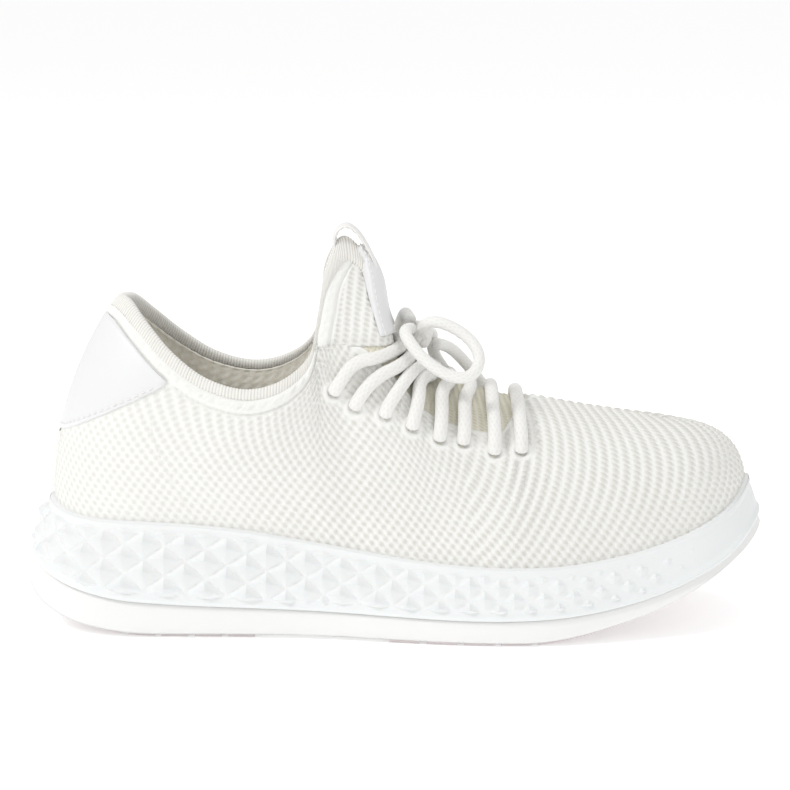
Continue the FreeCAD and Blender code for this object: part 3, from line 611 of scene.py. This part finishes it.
def knitSurface(name, q):
    q = q[:, None]
    edge = upperEdge(np.where(q > toe, q - 2 * toe, q))
    b = np.linspace(0, 1, upper["rows"])[None]
    v = edge * b
    q, v = np.broadcast_arrays(q, v)
    wrapped = aroundToe(q)
    s = np.abs(wrapped)
    along, across = fabricPlace(wrapped, v)
    toEdge = (edge * np.ones_like(v) - v) * lookUp(fromSole, wrapped, np.ones_like(v))
    rim = belowRim(wrapped, v)
    collar = smooth((9.6 - s) / 0.8)
    swell = collarSwell(rim)
    seam = 0.55 * bell(rim - upper["collarWidth"], 0.7)
    dimple = 0.5 * np.exp(-(((along + 2.4) % 4.8 - 2.4)**2 + (rim - 6.8)**2) / 0.9)
    pucker = 0.16 * np.sin(2 * math.pi * along / 2.1) * np.sin(math.pi * np.clip((rim - 4.6) / 4.6, 0, 1))
    out = collar * (swell - seam - dimple + pucker)
    strength = 1 - collar * smooth((upper["collarWidth"] + 1.6 - rim) / 1.2)
    throat = (s > peak - 0.4) & (s < shell["throatEnd"])
    strength = strength * np.where(throat, smooth((toEdge - 1.2) / 2.4), 1.0)
    strength = strength * (0.62 + 0.38 * smooth((s - 3) / 5))
    points = layer(q, v, out)
    hole = np.min(np.linalg.norm(points[:, :, None] - eyelets[None, None], axis=-1), axis=-1)
    normal = outward(q, v)
    eyeletRim = 0.35 * bell(hole - 3.2, 0.8) - 1.2 * smooth((2.6 - hole) / 1.4)
    points = points + normal * eyeletRim[..., None]
    strength = strength * smooth((hole - 3.4) / 1.5)
    turned = np.where(throat, smooth(1 - toEdge / 0.9), 0) + collar * smooth((4.9 - rim) / 1.6)
    points = points - normal * (1.5 * np.minimum(turned, 1.0)**2)[..., None]
    hem = smooth((s - 5.5) / 1.0) * smooth((11.0 - s) / 0.6) * smooth(
        1 - (shell["tongueLevel"] - points[..., 2]) / 4.5)
    points = points - normal * (0.6 * hem)[..., None]
    cloth = woven(along * mm, across * mm, strength)
    piece = gridPiece(name, points, cloth, None, False, True)
    return cells(piece, netTree, upper["cellWidth"], upper["cellHeight"], upper["depth"], "knit")


quarter = knitSurface("quarter", evenStations(-upper["split"], upper["split"], 0.4, upper["step"]))
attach(quarter, "rearfoot")
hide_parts("quarter_knit")
vamp = knitSurface("vamp", evenStations(upper["split"], 2 * toe - upper["split"], 0.4, upper["step"]))
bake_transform(vamp)
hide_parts("vamp_knit", "vamp_flex_zone")
print("knit upper ready", len(quarter.data.polygons), len(vamp.data.polygons))


# Sole: the wall stands out from the foot line down to its ledge.
sole = {"step": 0.72, "rows": 46, "facetDepth": 2.8, "lift": 0.3, "lip": 2.6, "ledgeLip": 2.4,
        "heelCell": 14.8, "frontCell": 10.4, "heelRow": 5.4, "frontRow": 3.9}


def footPoint(q, z):
    base = skin(q, 0)[..., 2]
    v = bisect(np.zeros(np.shape(z)), np.full(np.shape(z), 0.6), lambda m: skin(q, m)[..., 2] < z)
    v = np.where(z > base, v, 0.0)
    return skin(q, v)


def solePoint(q, z):
    q, z = paired(q, z)
    foot, base = footPoint(q, z), skin(q, 0)
    ledge, top, ground = (height(line, base[..., 0]) for line in (ledgeLine, topLine, groundLine))
    rise = np.clip((z - ledge) / (top - ledge), 0, 1)
    under = np.clip((ledge - z) / (ledge - ground), 0, 1.5)
    out = (height(flareLine, base[..., 0]) * (1 - rise) + 2.0 * rise
           + 0.5 * np.minimum(1.0, 4 * under) - 2.2 * under**3)
    flat = outward(q, 0.0 * q)
    flat = unit(flat * np.array([1, 1, 0]))
    point = foot + flat * out[..., None]
    point[..., 2] = z
    return point, flat


def soleLines(q):
    # ground, ledge and top of the sole under each place on the foot line, found where the wall really is
    x = skin(q, 0)[..., 0]
    levels = []
    for line in (groundLine, ledgeLine, topLine):
        z = height(line, x)
        for _ in range(3):
            z = height(line, solePoint(q, z)[0][..., 0])
        levels.append(z)
    return levels


soleQ = evenStations(-toe, toe, 0.0, sole["step"])[:-1]
groundZ, ledgeZ, topZ = soleLines(soleQ)
wallLine = solePoint(soleQ, (ledgeZ + topZ) / 2)[0]


def midsole():
    x = wallLine[:, 0]
    front = smooth((x + 70) / 110)
    cell = sole["heelCell"] + (sole["frontCell"] - sole["heelCell"]) * front
    rowHeight = sole["heelRow"] + (sole["frontRow"] - sole["heelRow"]) * smooth((x + 70) / 170)
    steps = np.linalg.norm(np.diff(wallLine[:, :2], axis=0), axis=1)
    a = np.concatenate([[0], np.cumsum(steps / (cell[:-1] / 2))])
    heel = np.argmin(np.abs(soleQ))
    a = a - a[heel]
    t = np.linspace(0, 1, sole["rows"])[None]
    z = topZ[:, None] + (ledgeZ - topZ)[:, None] * t
    wall, flat = solePoint(soleQ[:, None], z)
    down = topZ[:, None] - z
    b = (down - sole["lip"]) / rowHeight[:, None]
    up = z - ledgeZ[:, None]
    strength = smooth(b / 0.22) * smooth((up - sole["ledgeLip"]) / 1.2)
    share = np.clip(1 - 0.42 * smooth((x + 30) / 130) - 0.6 * smooth((x - 84) / 34), 0, 1)[:, None]
    lipOut = 0.35 * bell(down - 1.4, 0.9) + 0.7 * bell(up - 1.2, 1.1)
    wall = wall + flat * lipOut[..., None]
    depth = share * (strength > 0) * (0.4 + 0.6 * strength)
    cloth = woven(a[:, None], b + 1.0, depth)
    # rounded over the top towards the knit, and turned under at the ledge
    rings, plain = [], np.zeros((len(soleQ), 3))
    for inset, lower in ((4.4, 0.9), (2.6, 0.05), (1.5, -0.1), (0.7, 0.1), (0.2, 0.4)):
        ring = solePoint(soleQ, topZ - lower)[0] - flat[:, 0] * inset
        ring[:, 2] = topZ - lower
        rings.append(ring)
    wall[:, 0, 2] = topZ - 0.8
    under = []
    for inset, lower in ((0.25, 0.35), (1.0, 0.55), (3.0, 0.5), (9.0, 0.2)):
        ring = wall[:, -1] - flat[:, -1] * inset
        ring[:, 2] = ledgeZ + 0.3 - lower
        under.append(ring)
    points = np.concatenate([np.stack(rings, 1), wall, np.stack(under, 1)], 1)
    cloth = np.concatenate([np.stack([plain] * 5, 1), cloth, np.stack([plain] * 4, 1)], 1)
    points = np.concatenate([points, points[:1]], 0)
    cloth = np.concatenate([cloth, cloth[:1]], 0)
    piece = gridPiece("midsole", points, cloth, None, True, True)
    applyTree(piece, facetTree, {"Lift": sole["lift"], "Depth": sole["facetDepth"] * mm,
                                 "Material": finishes["foam"]})
    piece.data.set_sharp_from_angle(angle=math.radians(28))
    return piece


def sidewall():
    t = np.linspace(0, 1, 18)[None]
    z = (ledgeZ[:, None] - 0.2) + (groundZ[:, None] + 1.6 - ledgeZ[:, None]) * t
    wall, flat = solePoint(soleQ[:, None], z)
    rings = [wall - flat * (0.75 + 1.2 * smooth((0.08 - t) / 0.08))[..., None]]
    spineX = np.clip(wall[:, -1, 0], -112, 112)
    spine = np.stack([spineX, height(middleLine, spineX), height(groundLine, spineX) + 1.3], -1)
    base = wall[:, -1]
    under = []
    for share in (0.02, 0.06, 0.14, 0.3, 0.5, 0.7, 0.85, 1.0):
        ring = base * (1 - share) + spine * share
        ring[:, 2] = height(groundLine, ring[:, 0]) + 1.3 + 0.3 * max(0.0, 1 - share / 0.06)
        under.append(ring)
    top = wall[:, 0] - flat[:, 0] * 8
    top[:, 2] = wall[:, 0, 2]
    points = np.concatenate([top[:, None], rings[0], np.stack(under, 1)], 1)
    points = np.concatenate([points, points[:1]], 0)
    return gridPiece("sidewall", points, None, "rubber", True, True)


foam = midsole()
band = sidewall()
for piece, nodes, slot in ((foam, ("midsole_rear", "midsole_front"), "midsole_foam"),
                           (band, ("lower_band_rear", "lower_band_front"), "sole_rubber")):
    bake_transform(piece)
    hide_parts(*nodes)
print("sole ready", len(foam.data.polygons))


# Rolled knit bindings round the ankle and down the tongue.
rolls = {"around": 22, "pitch": 1.15, "depth": 0.24, "low": 0.922, "outer": 0.75, "inner": 3.6}


def squared(wave, power):
    # a round outline pushed towards a square one
    return np.sign(wave) * np.abs(wave)**power


def bendWithTongue(piece):
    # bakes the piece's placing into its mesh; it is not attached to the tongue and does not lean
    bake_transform(piece)


def roll(name, q, low, high, outer, inner, body, node, crown=0.0):
    # a soft closed roll between two heights up the skin and two depths
    turn = np.linspace(0, 2 * math.pi, rolls["around"], endpoint=False)[None]
    side = squared(np.cos(turn), 0.75)
    depth = squared(np.sin(turn), 0.75)
    q = q[:, None]
    v = (low + high) / 2 + (high - low) / 2 * side + 0 * q
    out = 0 * q + (outer - inner) / 2 + (outer + inner) / 2 * depth
    wide = np.broadcast_to(q, v.shape)
    points = layer(wide, np.minimum(v, 1.0), out)
    points[..., 2] += crown * smooth((np.abs(wide) - 8.4) / 1.6)
    along = alongRow(points[:, rolls["around"] // 4])[:, None]
    ends = np.minimum(np.arange(len(q)), np.arange(len(q))[::-1])[:, None]
    middle = points.mean(1, keepdims=True)
    points = middle + (points - middle) * np.maximum(dome(ends / 6), 0.06)[..., None]
    cloth = woven(along * mm, turn, np.minimum(ends / 6, 1.0))
    piece = gridPiece(name, points, cloth, None, False, False, True)
    closeEnds(piece)
    applyTree(piece, ribTree, {"Pitch": rolls["pitch"] * mm, "Depth": rolls["depth"] * mm,
                               "Material": finishes["binding"]})
    if body == "tongue":
        bendWithTongue(piece)
    else:
        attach(piece, body)
    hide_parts(node)
    return piece


rimMeet = float(crossing(103.6, 0.96))
roll("collarBinding", evenStations(-rimMeet, rimMeet, 0.97, 0.24), rolls["low"], 1.0, rolls["outer"],
     rolls["inner"], "rearfoot", "collar_binding")
for side, word in ((-1, "outer"), (1, "inner")):
    ends = sorted((side * float(crossing(102.6, 0.96)), side * (peak + 0.9)))
    roll("tongueBinding" + word.title(), evenStations(ends[0], ends[1], 0.97, 0.24), rolls["low"], 1.0,
         rolls["outer"], rolls["inner"] - 0.6, "tongue", "tongue_binding_" + word, 2.2)


# Bootie lining with its padded collar.
lining = {"low": 0.02, "padLow": 0.55, "padding": 3.2, "reach": 8.3, "step": 1.1, "rows": 90}


def bootie():
    q = evenStations(-lining["reach"], lining["reach"], 0.6, lining["step"])[:, None]
    edge = np.where(np.abs(q) > 5.5, np.minimum(0.955, levelPlace(q, 103.6)), 0.955)
    v = lining["low"] + (edge - lining["low"]) * np.linspace(0, 1, lining["rows"])[None]
    wide = np.broadcast_to(q, v.shape)
    pad = lining["padding"] * np.sin(math.pi * np.clip((v - lining["padLow"]) / 0.45, 0, 0.86))
    pad = pad * smooth((9.5 - np.abs(q)) / 2)
    rim = belowRim(wide, v)
    along = lookUp(fromToe, wide, v)
    seam = 0.9 * bell(rim - 12.5, 1.0)
    depth = shell["linerDepth"] + 1.0 + pad + 0.75 - seam
    strength = smooth((np.abs(rim - 12.5) - 1.0) / 1.2)
    cloth = woven(along * mm, rim * mm, strength)
    piece = gridPiece("bootieLining", layer(wide, v, -depth), cloth, None, True)
    cells(piece, bubbleTree, 4.6, 6.4, 0.4, "lining")
    thicken(piece, 0.7)
    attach(piece, "rearfoot")
    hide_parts("bootie_lining", "collar_foam")


bootie()
print("collar ready")


# Tongue peak: knit round the front of the ankle, a smooth front patch and the pull loop.
tongue = {"top": 136.4, "patchLow": 106.5, "patchHigh": 135.5, "patchStart": 0.33, "patchSwell": 2.7}


def levelPlaces(shares, levels, rimV):
    z = levels[None] * np.ones((len(shares), 1))
    share = shares[:, None] * np.ones_like(z)
    rim, ridge = crossing(z, rimV), crossing(z, 1)
    q = rim + (ridge - rim) * (1 - np.abs(1 - 2 * share))
    return np.where(share < 0.5, -q, q), np.minimum(1.0, levelPlace(q, z))


def tongueKnit():
    shares = np.linspace(0, 1, 121)
    levels = np.linspace(shell["tongueLevel"] - 0.6, tongue["top"], 66)
    q, v = levelPlaces(shares, levels, 0.945)
    points = layer(q, v, np.zeros_like(v))
    along = alongRow(points)
    rise = alongRow(points.transpose(1, 0, 2)).T
    middle = along[len(shares) // 2][None]
    edge = np.minimum(along, along[-1:] - along)
    seam = 0.5 * bell(edge - 5.2, 0.6)
    dimple = 0.4 * np.exp(-(((rise + 2.2) % 4.4 - 2.2)**2 + (edge - 2.6)**2) / 0.9)
    hem = 0.6 * smooth(1 - rise / 4.5)
    swell = 0.5 * np.sin(math.pi * np.clip(edge / 5.2, 0, 1))
    points = points + outward(q, v) * (swell - seam - dimple - hem)[..., None]
    cloth = woven((along - middle) * mm, rise * mm, smooth((edge - 5.8) / 1.2) * 0.9)
    piece = gridPiece("tongueKnit", points, cloth, None, False)
    cells(piece, netTree, 3.4, 4.0, 0.5, "knit")
    thicken(piece, 1.7)
    bendWithTongue(piece)
    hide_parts("tongue_knit")


tongueKnit()


def tonguePatch():
    shares = np.concatenate([[0, 0.004], np.linspace(0.02, 0.98, 36), [0.996, 1]])
    rises = np.concatenate([[0, 0.006], np.linspace(0.03, 0.97, 30), [0.994, 1]])
    levels = tongue["patchLow"] + (tongue["patchHigh"] - tongue["patchLow"]) * rises
    start = tongue["patchStart"]
    q, v = levelPlaces(start + (1 - 2 * start) * shares, levels, 0.925)
    edge = np.minimum(np.minimum(shares, 1 - shares)[:, None] / 0.02,
                      np.minimum(rises, 1 - rises)[None] / 0.03)
    thick = 1.05 + tongue["patchSwell"] * smooth((levels - 109) / 17)[None]
    out = 0.1 + thick * dome(edge)
    piece = gridPiece("tonguePatch", layer(q, v, out), None, "smoothPatch", False)
    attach(piece, "tongue")
    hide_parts("tongue_patch")
    runs = []
    for share in (0.07, 0.93):
        q, v = levelPlaces(np.array([start + (1 - 2 * start) * share]), levels[2:-2], 0.925)
        lift = 1.2 + tongue["patchSwell"] * smooth((levels[2:-2] - 109) / 17)[None]
        runs.append(layer(q, v, lift)[0])
    stitches("tonguePatchStitches", runs, "tongue", 1.7, 2.4, 0.45)


tonguePatch()
pull = {"width": 9.0, "thickness": 1.3}
loopLine = [(-4.2, 117), (-4.8, 123), (-6.8, 130), (-9.8, 136.6), (-13.4, 142.4), (-17.8, 145.4),
            (-21.6, 142.4), (-22.2, 137.6), (-21, 131.5)]


def smoothRoute(points):
    # the line of a cord through its control points, in metres
    curve = bpy.data.curves.new("route", "CURVE")
    curve.dimensions = "3D"
    curve.resolution_u = 24
    spline = curve.splines.new("NURBS")
    spline.points.add(len(points) - 1)
    for place, point in zip(spline.points, points):
        place.co = (*(c * mm for c in point), 1)
    spline.order_u = 3
    spline.use_endpoint_u = True
    holder = bpy.data.objects.new("route", curve)
    line = bpy.data.meshes.new_from_object(holder)
    found = np.array([v.co for v in line.vertices])
    bpy.data.objects.remove(holder)
    bpy.data.meshes.remove(line)
    return found


def pullLoop():
    route = smoothRoute([(x, 0, z) for x, z in loopLine]) / mm
    tangent = unit(np.gradient(route, axis=0))
    normal = np.stack([-tangent[:, 2], 0 * tangent[:, 0], tangent[:, 0]], -1)
    turn = np.linspace(0, 2 * math.pi, 28, endpoint=False)
    wide = squared(np.cos(turn), 0.35) * pull["width"] / 2
    thick = squared(np.sin(turn), 0.6) * pull["thickness"] / 2
    thick = thick * (1 - 0.35 * smooth((np.abs(wide) - 3.2) / 0.6))
    points = (route[:, None] + normal[:, None] * thick[None, :, None]
              + np.array([0, 1, 0]) * wide[None, :, None])
    piece = gridPiece("pullLoop", points, None, "loop", False, False, True)
    closeEnds(piece)
    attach(piece, "tongue")
    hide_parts("pull_loop")
    runs = [route + normal * 0.62 + np.array([0, y, 0]) for y in (-3.4, 3.4)]
    stitches("pullLoopStitches", runs, "tongue", 1.6, 2.4, 0.4)


pullLoop()
print("tongue ready")


# Heel trims.
heel = {"tip": 3.2, "patchLevel": 70.0, "tapeLow": 48.0, "gap": 0.25, "thickness": 0.9}
patchBottom = float(levelPlace(0.0, heel["patchLevel"]))


def downFromRim(q, distance):
    # how far up the skin a place is that lies a distance below the rim
    return bisect(np.full(np.shape(q), 0.4), np.ones(np.shape(q)), lambda v: belowRim(q, v) > distance)


def heelPatchPlaces(a, b):
    q = heel["tip"] * (2 * np.asarray(a, float) - 1)
    high = downFromRim(q, upper["collarWidth"] + 0.3 - 1.2 * bell(q, 0.6))
    tipLevel = skin(heel["tip"], downFromRim(heel["tip"], upper["collarWidth"] + 1.6))[2]
    rise = (tipLevel - heel["patchLevel"]) * (np.abs(q) / heel["tip"])**1.8
    low = levelPlace(q, heel["patchLevel"] + rise)
    return q, low + (high - low) * b


def heelPatch():
    a = np.concatenate([[0, 0.004], np.linspace(0.015, 0.985, 90), [0.996, 1]])[:, None]
    b = np.concatenate([[0, 0.01], np.linspace(0.03, 0.97, 50), [0.99, 1]])[None]
    q, v = heelPatchPlaces(a + 0 * b, b + 0 * a)
    rim = belowRim(q, v)
    edge = np.minimum(np.minimum(a, 1 - a) / 0.015, np.minimum(b, 1 - b) / 0.03)
    out = heel["gap"] + heel["thickness"] * dome(edge)
    swell = collarSwell(rim)
    out = out + np.maximum(swell - 0.4, -0.2) * 0.8
    piece = gridPiece("heelPatch", layer(q, v, out), None, "smoothPatch", False)
    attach(piece, "rearfoot")
    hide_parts("heel_patch")
    places = [heelPatchPlaces(share, 0.0) for share in np.linspace(0.04, 0.96, 120)]
    run = [layer(q, v + 0.022, 1.25) for q, v in places]
    stitches("heelPatchStitches", [run], "rearfoot", 1.7, 2.9, 0.5)


def backTape():
    a, b = np.linspace(0, 1, 24)[:, None], np.linspace(0, 1, 60)[None]
    low, high = float(levelPlace(0.0, heel["tapeLow"])), patchBottom - 0.01
    q, v = (2 * a - 1) * 0.19 + 0 * b, low + (high - low) * b + 0 * a
    edge = np.minimum(a, 1 - a) / 0.1 + 0 * b
    out = 0.15 + 0.9 * dome(edge)
    piece = gridPiece("backSeamTape", layer(q, v, out), None, "binding", False)
    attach(piece, "rearfoot")
    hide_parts("back_seam_tape")
    zigzag = [layer(0.15 * (-1)**k, low + (high - low) * k / 26, 1.1) for k in range(27)]
    stitches("backSeamStitches", [zigzag], "rearfoot", 1.5, 1.5, 0.5)


def counterStitches():
    runs = []
    for side in (-1, 1):
        q = side * (3.05 + 1.5 * np.linspace(0, 1, 60)**1.2)
        v = 0.73 - 0.6 * np.linspace(0, 1, 60)
        runs.append(layer(q, v, np.full(60, 0.15)))
        collarRun = side * np.linspace(0.2, 9.0, 200)
        place = np.minimum(downFromRim(collarRun, upper["collarWidth"]), levelPlace(collarRun, 103.0))
        keep = np.abs(collarRun) > 3.4
        runs.append(layer(collarRun, place, np.full(200, -0.25))[keep])
    stitches("upperStitches", runs, "rearfoot", 1.6, 2.3, 0.42)


heelPatch()
backTape()
counterStitches()
print("heel ready")


# Throat mesh under the laces.
throat = {"low": 0.5, "start": 9.2, "end": 16.15, "cellWidth": 2.6, "cellHeight": 3.0, "depth": 0.5}


def throatMesh():
    stations = evenStations(throat["start"], throat["end"], 0.75, 0.7)
    sides = []
    for part in (-stations[::-1], stations):
        part = part[:, None]
        top = levelPlace(part, 103.8)
        v = throat["low"] + (top - throat["low"]) * np.linspace(0, 1, 70)[None]
        wide = np.broadcast_to(part, v.shape)
        points = layer(wide, v, np.full(v.shape, -2.15))
        along, across = lookUp(fromToe, wide, v), lookUp(fromSole, wide, v)
        sides.append((points, woven(along * mm, across * mm, np.ones_like(v))))
    pieces = [gridPiece("throatMesh", *sides[0]), gridPiece("throatMeshInner", *sides[1])]
    bpy.ops.object.select_all(action="DESELECT")
    for piece in pieces:
        piece.select_set(True)
    bpy.context.view_layer.objects.active = pieces[0]
    bpy.ops.object.join()
    piece = cells(pieces[0], netTree, throat["cellWidth"], throat["cellHeight"], throat["depth"], "mesh")
    thicken(piece, 0.7)
    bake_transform(piece)
    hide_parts("throat_mesh")


throatMesh()


# Laces: braided round cord.
lace = {"diameter": 4.4, "rowDiameter": 4.9, "pitch": 3.2, "strands": 9.0, "depth": 0.07, "around": 40}


def laceTube(name, line, diameter=lace["diameter"]):
    # a braided tube along a line in metres
    line = np.asarray(line) / mm
    steps = alongRow(line)
    along = np.linspace(0, steps[-1], max(8, int(steps[-1] / 0.42)))
    line = np.stack([np.interp(along, steps, line[:, k]) for k in range(3)], -1)
    tangent = unit(np.gradient(line, axis=0))
    side = np.zeros_like(line)
    guess = np.cross(tangent[0], (0, 0, 1.0))
    for k, t in enumerate(tangent):
        guess = guess - t * (guess @ t)
        guess = guess / np.linalg.norm(guess)
        side[k] = guess
    other = np.cross(tangent, side)
    turn = np.linspace(0, 2 * math.pi, lace["around"], endpoint=False)
    radius = diameter / 2 - lace["depth"] / 2
    ends = np.minimum(along, along[-1] - along)
    cap = np.maximum(dome(ends), 0.02**0.5)
    ring = (side[:, None] * np.cos(turn)[None, :, None] + other[:, None] * np.sin(turn)[None, :, None])
    points = line[:, None] + ring * (radius * cap)[:, None, None]
    cloth = woven(along[:, None] * mm, turn, 1.0)
    piece = gridPiece(name, points, cloth, None, True, False, True)
    closeEnds(piece)
    return applyTree(piece, braidTree, {"Pitch": lace["pitch"] * mm, "Strands": lace["strands"],
                                        "Depth": lace["depth"] * mm, "Material": finishes["lace"]})


onKnit = lace["diameter"] / 2 + 0.3
onMesh = lace["diameter"] / 2 - shell["linerDepth"] + 1.5
for number, ((q0, v0), (q1, v1), (q2, v2)) in enumerate(laceRows, start=1):
    places = [(q0, v0, onKnit - 3.4), (q0 + (q1 - q0) * 0.06, v0 + (v1 - v0) * 0.1, onKnit - 0.6),
              ((q0 + q1) / 2, (v0 + v1) / 2, onKnit + 0.4), (q1, v1, onKnit), (q2, v2, onMesh + 0.4)]
    outerSide = [layer(-q, v, out) for q, v, out in places]
    innerSide = [layer(q, v, out) for q, v, out in reversed(places)]
    row = laceTube("laceRow%d" % number, smoothRoute(outerSide + innerSide),
                   lace["rowDiameter"])
    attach(row, "rearfoot")
    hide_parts("lace_row_%d" % number)

nearLoop = [(12.2, -5.7, 105), (9.6, -10, 109.2), (14.2, -13.6, 112), (22.6, -14.4, 108.8),
            (29, -17, 103.4), (30.6, -21.8, 97.6), (26.6, -24.6, 92.6), (18.6, -24.2, 93.4),
            (10.8, -22.4, 98.6), (5.2, -19.4, 104.6), (2.8, -13, 108.8), (6.2, -4.9, 107.4)]
farLoop = [(12.8, 4.8, 104.2), (13.6, 9.4, 103.4), (13.6, 14.6, 101.2), (13.8, 19.8, 97.2), (15, 25.2, 92),
           (19.2, 29.8, 85.4), (23, 33.8, 76.8), (21, 36.8, 69.6), (15.4, 37.4, 68), (10.6, 36.6, 74.4),
           (8.8, 33.4, 82.6), (8, 28.8, 90.4), (7.6, 22.2, 98), (7.6, 15.4, 103.4), (7.8, 9.4, 106.2),
           (8.4, 4.9, 106.6)]
longEnd = [(14.6, 2.2, 100.8), (18.2, 6.4, 99.6), (21.6, 12, 96.6), (24.8, 17.4, 92.6), (28.4, 22.6, 87.6),
           (32.6, 27.4, 81.4), (37, 32.4, 74.6), (41, 37.8, 66.4), (41.8, 42.4, 57.6), (40, 45.8, 48),
           (37.4, 48.4, 38.5)]
shortEnd = [(5.9, 0.8, 109.4), (4.4, 6, 111.4), (3.4, 13, 110.2), (2.2, 19.8, 106.4), (1, 26.8, 100),
            (-0.2, 33.2, 90.6), (-1.6, 37.2, 79.8), (-2.8, 38.8, 69.4), (-3.6, 39.4, 59.8)]


def freeCord(name, node, route):
    line = smoothRoute(route)
    piece = laceTube(name, line)
    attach(piece, "rearfoot")
    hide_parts(node)


def wrapRound(name, turns):
    # the knot: the cord wound round its own crossing
    centre, lean = np.array([10.2, 0, 104.6]), math.radians(28)
    points = []
    for k in range(turns * 8 + 1):
        angle = k * math.pi / 4
        along = -2.3 + 4.6 * k / (turns * 8)
        local = np.array([along, 3.4 * math.cos(angle), 2.9 * math.sin(angle)])
        points.append(centre + np.array([local[0] * math.cos(lean) + local[2] * math.sin(lean), local[1],
                                         -local[0] * math.sin(lean) + local[2] * math.cos(lean)]))
    piece = laceTube(name, smoothRoute(points), 4.0)
    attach(piece, "rearfoot")
    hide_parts("lace_knot")


freeCord("bowLoopNear", "bow_loop_near", nearLoop)
freeCord("bowLoopFar", "bow_loop_far", farLoop)
freeCord("laceEndLong", "lace_end_long", longEnd)
freeCord("laceEndShort", "lace_end_short", shortEnd)
wrapRound("laceKnot", 2)
print("laces ready")


# CAD pieces that stay get their own finish.
kept = {"aglet_long": "tip", "aglet_short": "tip", "strobel_board_rear": "board",
        "strobel_board_front": "board", "heel_counter": "stiffener", "toe_puff": "stiffener",
        "sockliner_rear": "insole", "sockliner_front": "insole", "tread_heel": "tread",
        "tread_ball": "tread", "tread_toe": "tread"}
for node, finishName in kept.items():
    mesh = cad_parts[node].data
    mesh.materials.clear()
    mesh.materials.append(finishes[finishName])
print("kept pieces finished")


# Floor, light and camera.
studio = {"glow": 0.3, "cameraAt": (0, -0.950, 0.263), "lookAt": (0, 0, 0.082), "lens": 120.4,
          "floor": 0.93, "floorSize": 12, "world": 0.72}


def floor():
    bpy.ops.mesh.primitive_plane_add(size=studio["floorSize"])
    plane = bpy.context.object
    plane.name = "floor"
    made = bpy.data.materials.new("paleFloor")
    made.use_nodes = True
    shader = made.node_tree.nodes["Principled BSDF"]
    shader.inputs["Base Color"].default_value = (studio["floor"],) * 3 + (1,)
    shader.inputs["Roughness"].default_value = 0.9
    shader.inputs["Emission Color"].default_value = (1, 1, 1, 1)
    shader.inputs["Emission Strength"].default_value = studio["glow"]
    plane.data.materials.append(made)


def lookFrom(holder, place, aim):
    holder.location = place
    holder.rotation_euler = (Vector(aim) - Vector(place)).to_track_quat("-Z", "Y").to_euler()


def light(name, place, aim, width, power):
    # width in metres and power in watts
    lamp = bpy.data.lights.new(name, "AREA")
    lamp.shape, lamp.size, lamp.size_y = "RECTANGLE", width, width * 0.7
    lamp.energy = power
    lookFrom(linked(name, lamp), place, aim)


floor()
light("keyLight", (-0.9, -0.5, 1.15), (0, 0, 0.05), 0.35, 7)
light("topLight", (0.2, 0.3, 1.6), (0, 0, 0), 1.0, 3)
light("fillLight", (1.2, -1.3, 0.5), (0, 0, 0.06), 0.9, 1.6)
bpy.context.scene.view_settings.view_transform = "Standard"
world = bpy.data.worlds.new("studioWorld")
bpy.context.scene.world = world
world.use_nodes = True
background = world.node_tree.nodes["Background"].inputs
background["Color"].default_value = (1, 1, 1, 1)
background["Strength"].default_value = studio["world"]
camera = linked("camera", bpy.data.cameras.new("camera"))
lookFrom(camera, studio["cameraAt"], studio["lookAt"])
camera.data.lens, camera.data.sensor_width = studio["lens"], 36
bpy.context.scene.camera = camera
